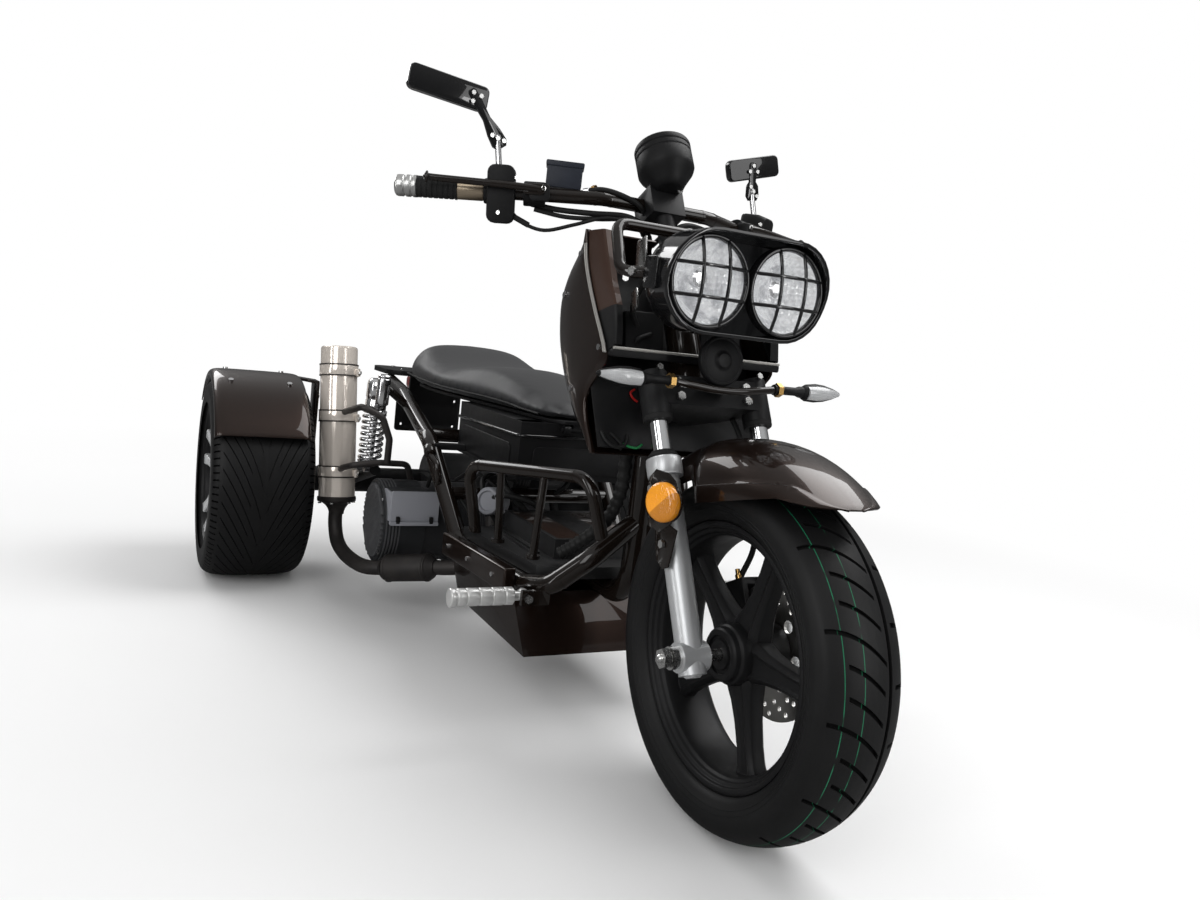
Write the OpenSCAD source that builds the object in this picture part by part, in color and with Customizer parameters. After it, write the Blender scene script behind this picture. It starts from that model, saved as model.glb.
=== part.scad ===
// Motor trike with one steered front wheel and two wide rear wheels.
// Millimetres, +Z up, the trike faces -Y, its right side is -X.
// The origin lies on the ground under the middle of the outline.

/* [Wheels] */
// Distance between the front and rear axles
wheelbase = 1310; // [1260:5:1360]
// Front tyre radius
front_tyre_r = 243; // [236:1:250]
// Front tyre width
front_tyre_w = 126; // [118:1:128]
// Height of the front tyre above the rim's lip
front_tyre_h = 67; // [60:1:72]
// Rear tyre radius
rear_tyre_r = 229; // [222:1:236]
// Rear tyre width
rear_tyre_w = 215; // [200:1:220]
// Height of the rear tyre above the rim's lip
rear_tyre_h = 65; // [58:1:70]
// Distance between the rear tyres' middles
rear_track = 946; // [930:2:970]
// Front axle diameter
front_axle_d = 16; // [14:0.5:18]
// Rear half shaft diameter
rear_shaft_d = 32; // [26:0.5:36]

/* [Steering] */
// Angle of the steering axis from the vertical
caster = 27.3; // [25:0.1:30]
// Distance from the steering axis forward to the fork legs
fork_offset = 35; // [30:1:40]
// Distance between the fork legs
leg_spread = 174; // [170:1:180]
// Fork stanchion diameter
stanchion_d = 27; // [25:0.5:30]
// Fork slider diameter
slider_d = 37; // [34:0.5:39]
// Height of the lower crown above the axle, along the legs
crown_s = 347; // [342:1:352]
// Height of the lower crown itself
crown_h = 44; // [38:1:46]
// Steering stem diameter
stem_d = 30; // [28:0.5:32]
// Head tube outer diameter
head_d = 52; // [50:0.5:56]
// Gap from the front tyre out to the mudguard's top
mudguard_gap = 48; // [44:1:54]
// Front mudguard half width
mudguard_hw = 78; // [74:1:80]
// Front brake disc radius
disc_r = 95; // [88:1:100]

/* [Handlebar] */
// Handlebar tube diameter
bar_d = 22; // [20:0.5:24]
// Height of the handlebar above the front axle, along the fork legs
bar_s = 717; // [711:1:725]
// Grip diameter
grip_d = 34; // [31:0.5:36]
// Grip length
grip_len = 96; // [86:1:104]
// Gauge pod diameter
gauge_d = 92; // [84:1:98]
// Mirror head length
mirror_len = 128; // [116:1:134]
// Mirror head height
mirror_h = 38; // [34:1:42]

/* [Leg shield and lamps] */
// Half width of the leg shield over its sides
shield_hw = 148; // [142:1:154]
// Wall of the leg shield and other panels
wall = 3; // [2:0.5:4]
// Headlamp radius
lamp_r = 60; // [55:1:63]
// Distance between the headlamps
lamp_pitch = 129; // [127:1:134]
// Height of the headlamps above the front axle, along the fork legs
lamp_s = 567; // [559:1:575]
// Distance from the steering axis forward to the headlamps
lamp_reach = 192; // [187:1:198]
// Gap around the headlamps inside their surround
lamp_gap = 5; // [3:0.5:8]
// Wall of the lamp surround
visor_wall = 6; // [4:0.5:8]
// Length of the lamp surround
visor_len = 82; // [74:1:90]
// Guard bar diameter in front of the lamps
grille_d = 6; // [5:0.5:7]

/* [Frame] */
// Down tube diameter
main_tube_d = 38; // [34:0.5:42]
// Side tube diameter
side_tube_d = 34; // [30:0.5:36]
// Guard hoop diameter
hoop_d = 22; // [18:0.5:24]
// Height of the floor rails' middle
rail_z = 222; // [218:1:226]

/* [Floor] */
// Thickness of the floor deck
deck_t = 20; // [16:1:24]
// Height of the raised middle cover over the deck
cover_h = 34; // [26:1:40]
// Side sill height
sill_h = 42; // [36:1:46]
// Side sill width
sill_w = 22; // [18:1:26]
// Lowest point of the belly pan
belly_z = 102; // [96:1:110]
// Foot peg diameter
peg_d = 30; // [26:0.5:32]
// Foot peg length
peg_len = 104; // [94:1:110]

/* [Engine and exhaust] */
// Crankshaft height
crank_z = 190; // [186:1:196]
// Crankshaft distance behind the middle
crank_y = 375; // [368:1:382]
// Fan cover radius
fan_r = 90; // [82:1:94]
// Outer face of the fan cover
fan_x = -250; // [-256:1:-240]
// Silencer diameter
silencer_d = 82; // [74:1:84]
// Silencer length
silencer_len = 350; // [330:1:360]
// Exhaust pipe diameter
pipe_d = 32; // [28:0.5:34]

/* [Seat and rear] */
// Length of the seat
seat_len = 756; // [720:2:790]
// Largest half width of the seat
seat_hw = 166; // [156:1:174]
// Underside of the seat
seat_z = 484; // [480:1:488]
// Gap from the rear tyres out to the mudguards' top
guard_gap = 20; // [17:1:25]
// Rear mudguard width
guard_w = 200; // [190:1:205]
// Rear axle tube diameter
axle_tube_d = 60; // [54:1:66]
// Spring diameter of the rear dampers
spring_d = 54; // [48:1:58]

/* [Hidden] */
$fn = 48;
// gap between curved faces of neighbouring pieces
slip = 0.3;
// gap between pieces that move past each other
run = 6;
// weld bead where a straight run meets a bend
bead = 4;
bead_t = 0.8;
front_y = -wheelbase/2;
front_rim_r = front_tyre_r - front_tyre_h;
rear_rim_r = rear_tyre_r - rear_tyre_h;
mudguard_r = front_tyre_r + mudguard_gap;
// lower edge of the front mudguard's beak above the front axle
beak_z = mudguard_r - 58;
// the brake caliper keeps inside the rim of a smaller wheel
caliper_k = front_tyre_r/243;
guard_r = rear_tyre_r + guard_gap;
rear_y = wheelbase/2;
rear_x = rear_track/2;
leg_x = leg_spread/2;
stanchion_top = crown_s + crown_h;
collar_s = 270;
front_axle_r = front_axle_d/2;
sides = [-1, 1];
// axis of the steering in the Y-Z plane at a given height
function axis_y(z) = front_y + fork_offset/cos(caster) + (z - front_tyre_r)*tan(caster);
// world point of a place in the fork's own frame
function fork_pt(x, f, s) = [x, front_y + f*cos(caster) + s*sin(caster),
    front_tyre_r - f*sin(caster) + s*cos(caster)];
head_lo = stanchion_top + 9;
head_hi = head_lo + 200;
stem_hi = bar_s - 25;
lamp_z = fork_pt(0, fork_offset, lamp_s)[2];
lamp_y = axis_y(lamp_z) - lamp_reach;
function unit(v) = v/norm(v);
function turn(a, b, c) = acos(max(-1, min(1, unit(b - a)*unit(c - b))));
// strip of even thickness along an open line of points, offset to the left
function left_n(a, b) = unit([a[1] - b[1], b[0] - a[0]]);
function corner_n(p, i) = i == 0 ? left_n(p[0], p[1])
    : i == len(p) - 1 ? left_n(p[i - 1], p[i])
    : let (m = left_n(p[i - 1], p[i]), n = left_n(p[i], p[i + 1])) (m + n)/(1 + m*n);
function strip(p, t) = concat(p, [for (i = [len(p) - 1:-1:0]) p[i] + t*corner_n(p, i)]);

// rows: right lever side first; columns: outer end, bend and middle of the bar
bar_mid = fork_pt(0, fork_offset + 17, bar_s);
bar_pts = [for (p = [[-385, 130, -16], [-98, 0, 0], [98, 0, 0], [385, 130, -16]]) bar_mid + p];
// leg shield side outline as Y, Z
// leg shield outline as Y, Z from the lower end of the head tube
head_p = fork_pt(0, fork_offset, head_lo);
head_o = [head_p[1], head_p[2]];
shield_front = [for (p = [[55.5, 212.5], [-16.5, 42.5]]) head_o + p];
shield_rear = [for (p = [[20.5, -112.5], [70.5, -67.5], [128.5, -27.5], [195.5, 107.5], [98.5, 217.5],
    [55.5, 212.5]]) head_o + p];
shield_side = concat([shield_front[1], head_o + [-11.5, -42.5]], shield_rear);
// down tube from the head tube to the tail of the floor spine
spine_z = rail_z - 4;
down_pts = [fork_pt(0, fork_offset, 450), [0, -338, 470], [0, -332, spine_z], [0, 22, spine_z]];
down_bend = 62;
cross_d = 28;
seat_front = -110;
tail_y = seat_front + seat_len + 29;
// side frame on the right; the left one is mirrored
side_pts = [[0, -334, 352], [-88, -352, 294], [-138, -318, 240], [-148, -240, rail_z],
    [-172, 20, rail_z], [-190, 215, 394], [-160, 545, 458], [-148, tail_y + 49, 474]];
side_bend = [0, 50, 45, 60, 70, 90, 120, 0];
// guard hoop on the right
hoop_pts = [[-158, -24, rail_z + side_tube_d/2], [-188, -24, 386],
    [-88, -320, 418], [-64, -346, 308]];
// its posts: share of the top run, foot X, foot Y
hoop_posts = [[0.3, -148, -104], [0.66, -128, -218]];
// storage box under the seat, below the seat's base plate
base_t = 6;
box_y = [-98, 236];
box_z = [372, seat_z - base_t - 2*slip];
box_hw = 122;
// deck outline as half width and Y, front to rear
deck_rows = [[104, -282], [140, -262], [170, 18]];
deck_z = rail_z + side_tube_d/2 + slip;
hinge_y = box_y[0] - 6.5;
hinge_z = seat_z - 17;
hinge_d = 8;
peg_pivot = [-176, -304, 222];
axle_end = rear_x - rear_tyre_w/2 - 14;

module rod(a, b, d, spin = 0) {
    v = b - a;
    translate(a)
        rotate([0, acos(v[2]/norm(v)), atan2(v[1], v[0])])
            rotate([0, 0, spin])
                cylinder(d = d, h = norm(v));
}

// bent tube: straight runs joined by true bends
module pipe(pts, d, bend) {
    n = len(pts);
    function r_at(i) = is_list(bend) ? bend[i] : bend;
    tl = [for (i = [0:n - 1]) i == 0 || i == n - 1 ? 0
        : r_at(i)*tan(turn(pts[i - 1], pts[i], pts[i + 1])/2)];
    for (i = [0:n - 2]) {
        u = unit(pts[i + 1] - pts[i]);
        a = pts[i] + tl[i]*u;
        b = pts[i + 1] - tl[i + 1]*u;
        rod(a + (i > 0 ? bead/8 : 0)*u, b - (i < n - 2 ? bead/8 : 0)*u, d);
        if (i > 0)
            rod(a - bead/2*u, a + bead/2*u, d + bead_t);
        if (i < n - 2)
            rod(b - bead/2*u, b + bead/2*u, d + bead_t);
    }
    for (i = [1:n - 2]) {
        u = unit(pts[i] - pts[i - 1]);
        w = unit(pts[i + 1] - pts[i]);
        phi = turn(pts[i - 1], pts[i], pts[i + 1]);
        c = pts[i] + unit(w - u)*r_at(i)/cos(phi/2);
        e = (pts[i] - tl[i]*u - c)/r_at(i);
        k = cross(e, u);
        multmatrix([[e[0], u[0], k[0], c[0]], [e[1], u[1], k[1], c[1]], [e[2], u[2], k[2], c[2]]])
            rotate_extrude(angle = phi)
                translate([r_at(i), 0])
                    circle(d = d);
    }
}

module fork_frame() {
    translate([0, front_y, front_tyre_r])
        rotate([-caster, 0, 0])
            children();
}

module x_cyl(x0, x1, y, z, d) {
    translate([x0, y, z])
        rotate([0, 90, 0])
            cylinder(d = d, h = x1 - x0);
}

// revolve about the X axis through a point; the profile is radius, X
module x_turn(x, y, z) {
    translate([x, y, z])
        rotate([0, 90, 0])
            rotate_extrude($fn = 96)
                children();
}

// plate in the Y-Z plane from X to X + t
module yz_plate(x, t, pts) {
    translate([x, 0, 0])
        rotate([90, 0, 90])
            linear_extrude(height = t)
                polygon(pts);
}

module round_rect(l, h, r) {
    square([l - 2*r, h], center = true);
    square([l, h - 2*r], center = true);
    for (x = sides, y = sides)
        translate([x*(l/2 - r), y*(h/2 - r)])
            circle(r = r);
}

module down_tube(extra) {
    pipe(down_pts, main_tube_d + extra, down_bend);
}

module head_tube_body(extra) {
    fork_frame()
        translate([0, fork_offset, head_lo])
            cylinder(d = head_d + extra, h = head_hi - head_lo);
}

module frame_head() {
    color("#17120f")
        difference() {
            union() {
                head_tube_body(0);
                down_tube(0);
                lamp_arm();
                frame_crosses();
            }
            fork_frame()
                translate([0, fork_offset, head_lo - 1])
                    cylinder(d = stem_d + 2*run, h = head_hi - head_lo + 2);
        }
}

// cross tubes between the side tubes: Y, Z, half length
function side_at(i, y) = let (t = (y - side_pts[i][1])/(side_pts[i + 1][1] - side_pts[i][1]))
    side_pts[i] + t*(side_pts[i + 1] - side_pts[i]);
hanger_y = 112;
rest_y = box_y[1] + cross_d/2 + slip;
module floor_cross(extra) {
    x_cyl(side_pts[4][0], -side_pts[4][0], 10, spine_z, cross_d + extra);
}

module frame_crosses() {
    difference() {
        union() {
            floor_cross(0);
            for (p = [side_at(4, hanger_y), side_at(5, rest_y)])
                x_cyl(p[0], -p[0], p[1], p[2], cross_d);
        }
        side_tubes(2*slip);
    }
}

// both side tubes, for cutting what meets them
module side_tubes(extra) {
    for (s = [0, 1])
        mirror([s, 0, 0])
            pipe(side_pts, side_tube_d + extra, side_bend);
}

lamp_back = lamp_y + visor_len - 14;
module lamp_arm() {
    rod([0, lamp_back, lamp_z], [0, axis_y(lamp_z), lamp_z], 28);
}

module side_frame_tube() {
    difference() {
        pipe(side_pts, side_tube_d, side_bend);
        down_tube(2*slip);
    }
    difference() {
        damper_lug();
        damper_body(2*slip);
    }
    peg_ears();
}

module damper_lug() {
    rod([-176, damper_top[1], 438], [damper_top[0] + 18, damper_top[1], damper_top[2] - 14], 18);
}

module peg_ears() {
    for (s = sides)
        translate([peg_pivot[0] - 10, peg_pivot[1] + s*14 - 4, peg_pivot[2] - 12])
            cube([48, 8, 24]);
    translate([peg_pivot[0], peg_pivot[1] - 12, peg_pivot[2]])
        rotate([-90, 0, 0])
            cylinder(d = hinge_d, h = 24);
}

module frame_right() {
    color("#17120f")
        side_frame_tube();
}

module frame_left() {
    color("#17120f")
        mirror([1, 0, 0])
            side_frame_tube();
}

module stem_hole(extra) {
    fork_frame()
        translate([0, fork_offset, head_lo - 60])
            cylinder(d = head_d + 2*extra, h = 500);
}

// front frame of the leg shield in the plane of its front edge
module shield_flange() {
    a = shield_front[1];
    b = shield_front[0];
    len = norm(b - a);
    translate([0, a[0], a[1]])
        rotate([-atan2(b[0] - a[0], b[1] - a[1]), 0, 0])
            rotate([90, 0, 0])
                translate([0, 0, -2])
                linear_extrude(height = 6)
                    difference() {
                        translate([-shield_hw - 3, -4])
                            square([2*shield_hw + 6, len + 4]);
                        translate([-shield_hw + 18, 14])
                            square([2*shield_hw - 36, len - 28]);
                    }
}

module leg_shield() {
    color("#2a1a14")
        difference() {
            union() {
                for (s = sides)
                    yz_plate(s > 0 ? shield_hw - wall : -shield_hw, wall, shield_side);
                yz_plate(-shield_hw, 2*shield_hw, strip(shield_rear, wall));
                shield_flange();
            }
            stem_hole(slip);
            down_tube(2*slip);
        }
}

liner_f = fork_offset + 42;
module shield_liner() {
    color("#141414")
        difference() {
            fork_frame()
                translate([-shield_hw + wall, liner_f, 312])
                    cube([2*(shield_hw - wall), wall, 298]);
            down_tube(4);
            shield_flange();
            yz_plate(-shield_hw, 2*shield_hw, strip(shield_rear, wall));
        }
}

module stadium(hw, hh) {
    square([2*(hw - hh), 2*hh], center = true);
    for (s = sides)
        translate([s*(hw - hh), 0])
            circle(r = hh, $fn = 64);
}

visor_hh = lamp_r + lamp_gap + visor_wall;
visor_hw = lamp_pitch/2 + visor_hh;
module lamp_surround() {
    color("#0d0d0d") {
        translate([0, lamp_back, lamp_z])
            rotate([90, 0, 0]) {
                linear_extrude(height = visor_len)
                    difference() {
                        stadium(visor_hw, visor_hh);
                        stadium(visor_hw - visor_wall, visor_hh - visor_wall);
                    }
                linear_extrude(height = 4)
                    stadium(visor_hw, visor_hh);
            }
        grille_y = lamp_back - visor_len + grille_d/2 + 1;
        for (s = sides, o = [-1, 1]) {
            translate([s*lamp_pitch/2 + o*22, grille_y, lamp_z])
                cylinder(d = grille_d, h = 2*(visor_hh - 3), center = true, $fn = 24);
        }
        for (o = [-1, 1])
            x_cyl(-visor_hw + 8, visor_hw - 8, grille_y, lamp_z + o*22, grille_d);
        lamp_hoop();
    }
}

module lamp_hoop() {
    // half of the hoop from the surround's end to its top corner; the other half is its mirror
    h = [[visor_hw - 4, lamp_back - 14, lamp_z + 4], [visor_hw + 18, lamp_back + 20, lamp_z + 4],
        [visor_hw + 10, lamp_back + 64, lamp_z + 74]];
    pipe(concat(h, [for (i = [2:-1:0]) [-h[i][0], h[i][1], h[i][2]]]), 18, 22);
}

module headlamps() {
    color("#d8dadc")
        for (s = sides)
            translate([s*lamp_pitch/2, lamp_y, lamp_z])
                rotate([-90, 0, 0])
                    rotate_extrude($fn = 64)
                        polygon([[0, -6], [24, -5], [44, -3], [lamp_r - 2, 0], [lamp_r, 2], [lamp_r, 14],
                            [48, 40], [30, lamp_back - lamp_y - 4 - slip], [0, lamp_back - lamp_y - 4 - slip]]);
}

module floor_deck() {
    color("#161616") {
        difference() {
            translate([0, 0, deck_z])
                linear_extrude(height = deck_t)
                    polygon(concat([for (r = deck_rows) [r[0], r[1]]],
                        [for (i = [len(deck_rows) - 1:-1:0]) [-deck_rows[i][0], deck_rows[i][1]]]));
            down_tube(4);
            side_tubes(2*slip + bead_t);
        }
        translate([-92, -224, deck_z + deck_t])
            cube([184, 236, cover_h]);
        for (x = [-118, -108, 108, 118])
            translate([x - 2, -196, deck_z + deck_t])
                cube([4, 208, 5]);
    }
}

// sills lie outside the floor rails, which run from one point to the next
rail_a = side_pts[3];
rail_b = side_pts[4];
module sills() {
    color("#2a1a14")
        for (s = [0, 1])
            mirror([s, 0, 0])
                translate([rail_a[0], rail_a[1], 0])
                    rotate([0, 0, -atan2(rail_b[0] - rail_a[0], rail_b[1] - rail_a[1])])
                        translate([-side_tube_d/2 - slip - sill_w, 0, rail_z - sill_h/2 + 6])
                            cube([sill_w, norm(rail_b - rail_a), sill_h]);
}

belly_top = rail_z - side_tube_d/2 - slip;
module belly_form() {
    intersection() {
        translate([0, 150, 0])
            rotate([90, 0, 0])
                linear_extrude(height = 500)
                    polygon([[-164, belly_top], [-146, belly_z], [146, belly_z], [164, belly_top]]);
        yz_plate(-300, 600, [[-262, belly_z], [-232, belly_top], [100, belly_top], [78, belly_z]]);
    }
}

module belly_pan() {
    color("#2a1a14")
        difference() {
            belly_form();
            down_tube(2*slip);
            floor_cross(2*slip);
        }
}

module guard_hoops() {
    color("#17120f")
        for (s = [0, 1])
            mirror([s, 0, 0])
                difference() {
                    union() {
                        pipe(hoop_pts, hoop_d, 40);
                        for (q = hoop_posts) {
                            rod([q[1], q[2], deck_z + deck_t + 3], hoop_pts[1] + q[0]*(hoop_pts[2] - hoop_pts[1]), 14, 40);
                            translate([q[1], q[2], deck_z + deck_t])
                                cylinder(d = 24, h = 6);
                        }
                    }
                    pipe(side_pts, side_tube_d + 2*slip, side_bend);
                    translate([-220, -60, deck_z - 60])
                        cube([100, 80, deck_t + 60]);
                }
}

module wiring_loom() {
    color("#222222")
        pipe([[-29, -324, 534], [-29, -322, 390], [-54, -298, 330], [-100, -256, 274]], 24, 34);
}

damper_top = [-247, 446, 492];
damper_low = [-252, 452, 306];
arm_x = 240;

module engine_case() {
    color("#2b2d30") {
        x_cyl(-160, 118, crank_y, crank_z, 176);
        translate([-70, crank_y + 40, crank_z - 62])
            cube([190, 110, 124]);
        translate([-90, crank_y - 70, crank_z - 92])
            cube([180, 150, 40]);
    }
}

module engine_shroud() {
    color("#55595e")
        difference() {
            union() {
                x_cyl(fan_x, -160 - slip, crank_y, crank_z, 2*fan_r);
                translate([-240, crank_y - fan_r - 6, crank_z + 16])
                    cube([80 - slip, 60, 66]);
            }
            x_cyl(fan_x - 1, fan_x + 14, crank_y, crank_z, 2*fan_r - 16);
        }
    color("#1d1d1d") {
        for (i = [-4:4]) {
            z = i*15;
            hl = sqrt(pow(fan_r - 8, 2) - z*z) - 1;
            translate([fan_x + 3, crank_y - hl, crank_z + z - 2])
                cube([12, 2*hl, 4]);
        }
    }
}

// finned barrel leans up and forward from the crankcase
cyl_tilt = 22;
module barrel_frame() {
    translate([0, crank_y, crank_z])
        rotate([-cyl_tilt, 0, 0])
            children();
}

module engine_barrel() {
    color("#3a3c3f")
        barrel_frame() {
            rotate([90, 0, 0])
                translate([0, 0, 88 + slip])
                    barrel_stack();
        }
}

module barrel_stack() {
    linear_extrude(height = 150)
        round_rect(74, 74, 12);
    for (i = [0:7])
        translate([0, 0, 8 + i*13])
            linear_extrude(height = 5)
                round_rect(118, 112, 14);
    translate([0, 0, 112])
        linear_extrude(height = 44)
            round_rect(100, 96, 16);
    // lug that hangs the engine from the frame's cross tube
    translate([-22, -28, 150])
        cube([44, 36, hanger_s - cross_d/2 - slip - 88 - slip - 150]);
}
hanger_p = side_at(4, hanger_y);
hanger_s = (crank_y - hanger_p[1])*cos(cyl_tilt) + (hanger_p[2] - crank_z)*sin(cyl_tilt);

module exhaust_pipe() {
    color("#242424") {
        a = [-166, 212, 126];
        b = [-236, 290, 104];
        difference() {
            pipe([[-46, 188, 240], [-50, 164, 150], [-120, 168, 136], a + 20*unit(b - a)], pipe_d, 30);
            barrel_frame()
                rotate([90, 0, 0])
                    translate([-60, -62, 80])
                        cube([120, 124, 190]);
        }
        pipe([b - 20*unit(b - a), [-277, 340, 95], [-292, 474, 104], [-302, 526, 146], [-302, 526, 176]], pipe_d, 26);
        rod(a, b, 58);
    }
}

sil_a = [-302, 526, 206];
sil_b = sil_a + silencer_len*unit([-10, 46, 350]);
module silencer() {
    u = unit(sil_b - sil_a);
    color("#b9b4aa") {
        rod(sil_a, sil_b, silencer_d);
        for (k = [0.08, 0.4, 0.84])
            rod(sil_a + k*silencer_len*u - 12*u, sil_a + k*silencer_len*u + 12*u, silencer_d + 5);
        rod(sil_b - 10*u, sil_b + 14*u, 40);
    }
    color("#242424") {
        difference() {
            union() {
                rod([-302, 526, 182], sil_a + 12*u, pipe_d + 6, 40);
                translate([-302, 526, 176])
                    cylinder(d = pipe_d + 26, h = 14);
                pipe([sil_a + 0.4*silencer_len*u, [-256, 516, 352], [-247, 486, 304], [-244, 493, 276]], 16, 22);
            }
            shock_arm(2*slip);
        }
    }
}

module storage_box() {
    color("#121212")
        difference() {
            translate([-box_hw, box_y[0], box_z[0]])
                cube([2*box_hw, box_y[1] - box_y[0], box_z[1] - box_z[0]]);
            translate([-box_hw + wall, box_y[0] + wall, box_z[0] + wall])
                cube([2*(box_hw - wall), box_y[1] - box_y[0] - 2*wall, box_z[1]]);
        }
    color("#121212")
        for (s = sides)
            difference() {
                union() {
                    x_cyl(s*36 - 6, s*36 + 6, hinge_y, hinge_z, 18);
                    translate([s*36 - 6, hinge_y, hinge_z - 8])
                        cube([12, box_y[0] - hinge_y, 16]);
                }
                x_cyl(-60, 60, hinge_y, hinge_z, hinge_d + 2*slip);
            }
    color("#121212")
        for (s = [0, 1])
            mirror([s, 0, 0])
                difference() {
                    translate([side_pts[5][0], 180, box_z[0] + 8])
                        cube([-side_pts[5][0] - box_hw, 24, 12]);
                    pipe([side_pts[3], side_pts[4], side_pts[5], side_pts[6]], side_tube_d + 2*slip, side_bend[5]);
                }
}

module shock_arm(extra) {
    for (s = sides)
        rod([s*arm_x, rear_y, rear_tyre_r], [s*arm_x, damper_low[1] - 12, damper_low[2] - 16], 24 + extra);
}

module rear_carrier() {
    color("#1a1a1a")
        difference() {
            union() {
                x_cyl(-axle_end, axle_end, rear_y, rear_tyre_r, axle_tube_d);
                x_cyl(-52, 70, rear_y, rear_tyre_r, 150);
                for (x = [-66, 84])
                    translate([x - 10, crank_y + 150, rear_tyre_r - 44])
                        cube([20, rear_y - crank_y - 140, 70]);
                translate([-76, crank_y + 150, rear_tyre_r - 44])
                    cube([170, 16, 70]);
                shock_arm(0);
            }
            for (s = sides)
                x_cyl(s > 0 ? axle_end - 40 : -axle_end - 1, s > 0 ? axle_end + 1 : -axle_end + 40,
                    rear_y, rear_tyre_r, rear_shaft_d + 2*slip);
        }
}

module rear_dampers() {
    color("#c9ccd0")
        for (s = [0, 1])
            mirror([s, 0, 0])
                damper();
}

module damper_body(extra) {
    u = unit(damper_top - damper_low);
    rod(damper_top - 70*u, damper_top + 6*u, 46 + extra);
}

module damper() {
    u = unit(damper_top - damper_low);
    difference() {
        rod(damper_low - 24*u, damper_top - 40*u, 20);
        shock_arm(2*slip);
    }
    damper_body(0);
    for (i = [0:6])
        rod(damper_low + (8 + i*16)*u, damper_low + (17 + i*16)*u, spring_d);
}

// chain run: drive sprocket at the gearbox, driven sprocket on the axle
chain_a = [470, 214];
chain_ra = 32;
chain_rb = 82;
module chain_shape(g) {
    b = [rear_y, rear_tyre_r];
    d = norm(b - chain_a);
    q = atan2(b[1] - chain_a[1], b[0] - chain_a[0]);
    k = acos((chain_ra - chain_rb)/d);
    function on(c, r, t) = c + (r + g)*[cos(t), sin(t)];
    translate(chain_a)
        circle(r = chain_ra + g);
    translate(b)
        circle(r = chain_rb + g);
    polygon([on(chain_a, chain_ra, q + k), on(chain_a, chain_ra, q - k), on(b, chain_rb, q - k),
        on(b, chain_rb, q + k)]);
}

module drive_chain() {
    color("#6d6a64") {
        translate([126, 0, 0])
            rotate([90, 0, 90])
                linear_extrude(height = 12)
                    difference() {
                        chain_shape(6);
                        chain_shape(-3);
                    }
        difference() {
            x_cyl(129, 135, rear_y, rear_tyre_r, 2*chain_rb);
            x_cyl(120, 140, rear_y, rear_tyre_r, axle_tube_d + 2*slip);
        }
        x_cyl(120, 135, chain_a[0], chain_a[1], 2*chain_ra);
    }
}

module rear_guards() {
    color("#2a1a14")
        for (s = sides) {
            translate([s*(rear_x + 7), rear_y, rear_tyre_r])
                rotate([0, 90, 0])
                    rotate([0, 0, 180 - 48])
                        rotate_extrude(angle = 108, $fn = 96)
                            polygon([[guard_r - 3, -guard_w/2], [guard_r - 3, guard_w/2 - 3], [guard_r - 9, guard_w/2 - 3],
                                [guard_r - 9, guard_w/2], [guard_r, guard_w/2], [guard_r, -guard_w/2]]);
            translate([s > 0 ? axle_end - 12 : -rear_x + guard_w/2 - 20, rear_y - 22, rear_tyre_r + guard_r - 12])
                cube([rear_x - guard_w/2 - axle_end + 32, 44, 10.5]);
            difference() {
                translate([s*(axle_end - 6) - 6, rear_y - 22, rear_tyre_r])
                    cube([12, 44, guard_r - 6]);
                x_cyl(-600, 600, rear_y, rear_tyre_r, axle_tube_d + 2*slip);
            }
        }
}

tail_z = side_pts[7][2] + side_tube_d/2 + slip;
module tail_unit() {
    color("#111111") {
        translate([0, 0, tail_z])
            linear_extrude(height = 12)
                translate([0, tail_y + 95])
                    round_rect(330, 190, 40);
        translate([-60, tail_y + 175, tail_z - 84])
            cube([120, 12, 90]);
        translate([0, tail_y + 187, tail_z - 108])
            rotate([90, 0, 0])
                plate_holder();
    }
}

plate_pitch = [146, 70];
module plate_holder() {
    translate([0, 0, -6])
        linear_extrude(height = 6)
            difference() {
                round_rect(180, 106, 8);
                for (x = sides, y = sides)
                    translate([x*plate_pitch[0]/2, y*plate_pitch[1]/2])
                        circle(d = 7);
            }
}

module tail_lamp() {
    color("#8c1210")
        translate([0, tail_y + 187, tail_z - 28])
            rotate([-90, 0, 0])
                linear_extrude(height = 30)
                    round_rect(120, 40, 14);
}

// seat sections from front to rear: Y, half width, underside Z, edge Z, crown Z
seat_rows = [[0, 0.34, 8, 16, 30], [0.05, 0.5, 2, 24, 46], [0.2, 0.62, 0, 30, 62], [0.4, 0.78, 0, 30, 66],
    [0.6, 0.96, 0, 36, 84], [0.75, 1, 0, 44, 98], [0.9, 0.92, 4, 44, 98], [0.98, 0.7, 14, 38, 80], [1, 0.5, 26, 36, 60]];
function seat_ring(r) = let (w = r[1]*seat_hw, y = seat_front + r[0]*seat_len)
    [[-0.8*w, y, seat_z + r[2]], [-w, y, seat_z + r[3]*0.6], [-0.95*w, y, seat_z + r[3] + 8],
     [-0.62*w, y, seat_z + r[4] - 5], [0, y, seat_z + r[4]], [0.62*w, y, seat_z + r[4] - 5],
     [0.95*w, y, seat_z + r[3] + 8], [w, y, seat_z + r[3]*0.6], [0.8*w, y, seat_z + r[2]]];
module seat() {
    n = 9;
    m = len(seat_rows);
    color("#26282b")
        polyhedron(points = [for (r = seat_rows) each seat_ring(r)],
            faces = concat([[for (i = [0:n - 1]) i]], [[for (i = [n - 1:-1:0]) (m - 1)*n + i]],
                [for (j = [0:m - 2], i = [0:n - 1]) [j*n + i, (j + 1)*n + i, j*n + (i + 1)%n]],
                [for (j = [0:m - 2], i = [0:n - 1]) [(j + 1)*n + i, (j + 1)*n + (i + 1)%n, j*n + (i + 1)%n]]));
}

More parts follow.
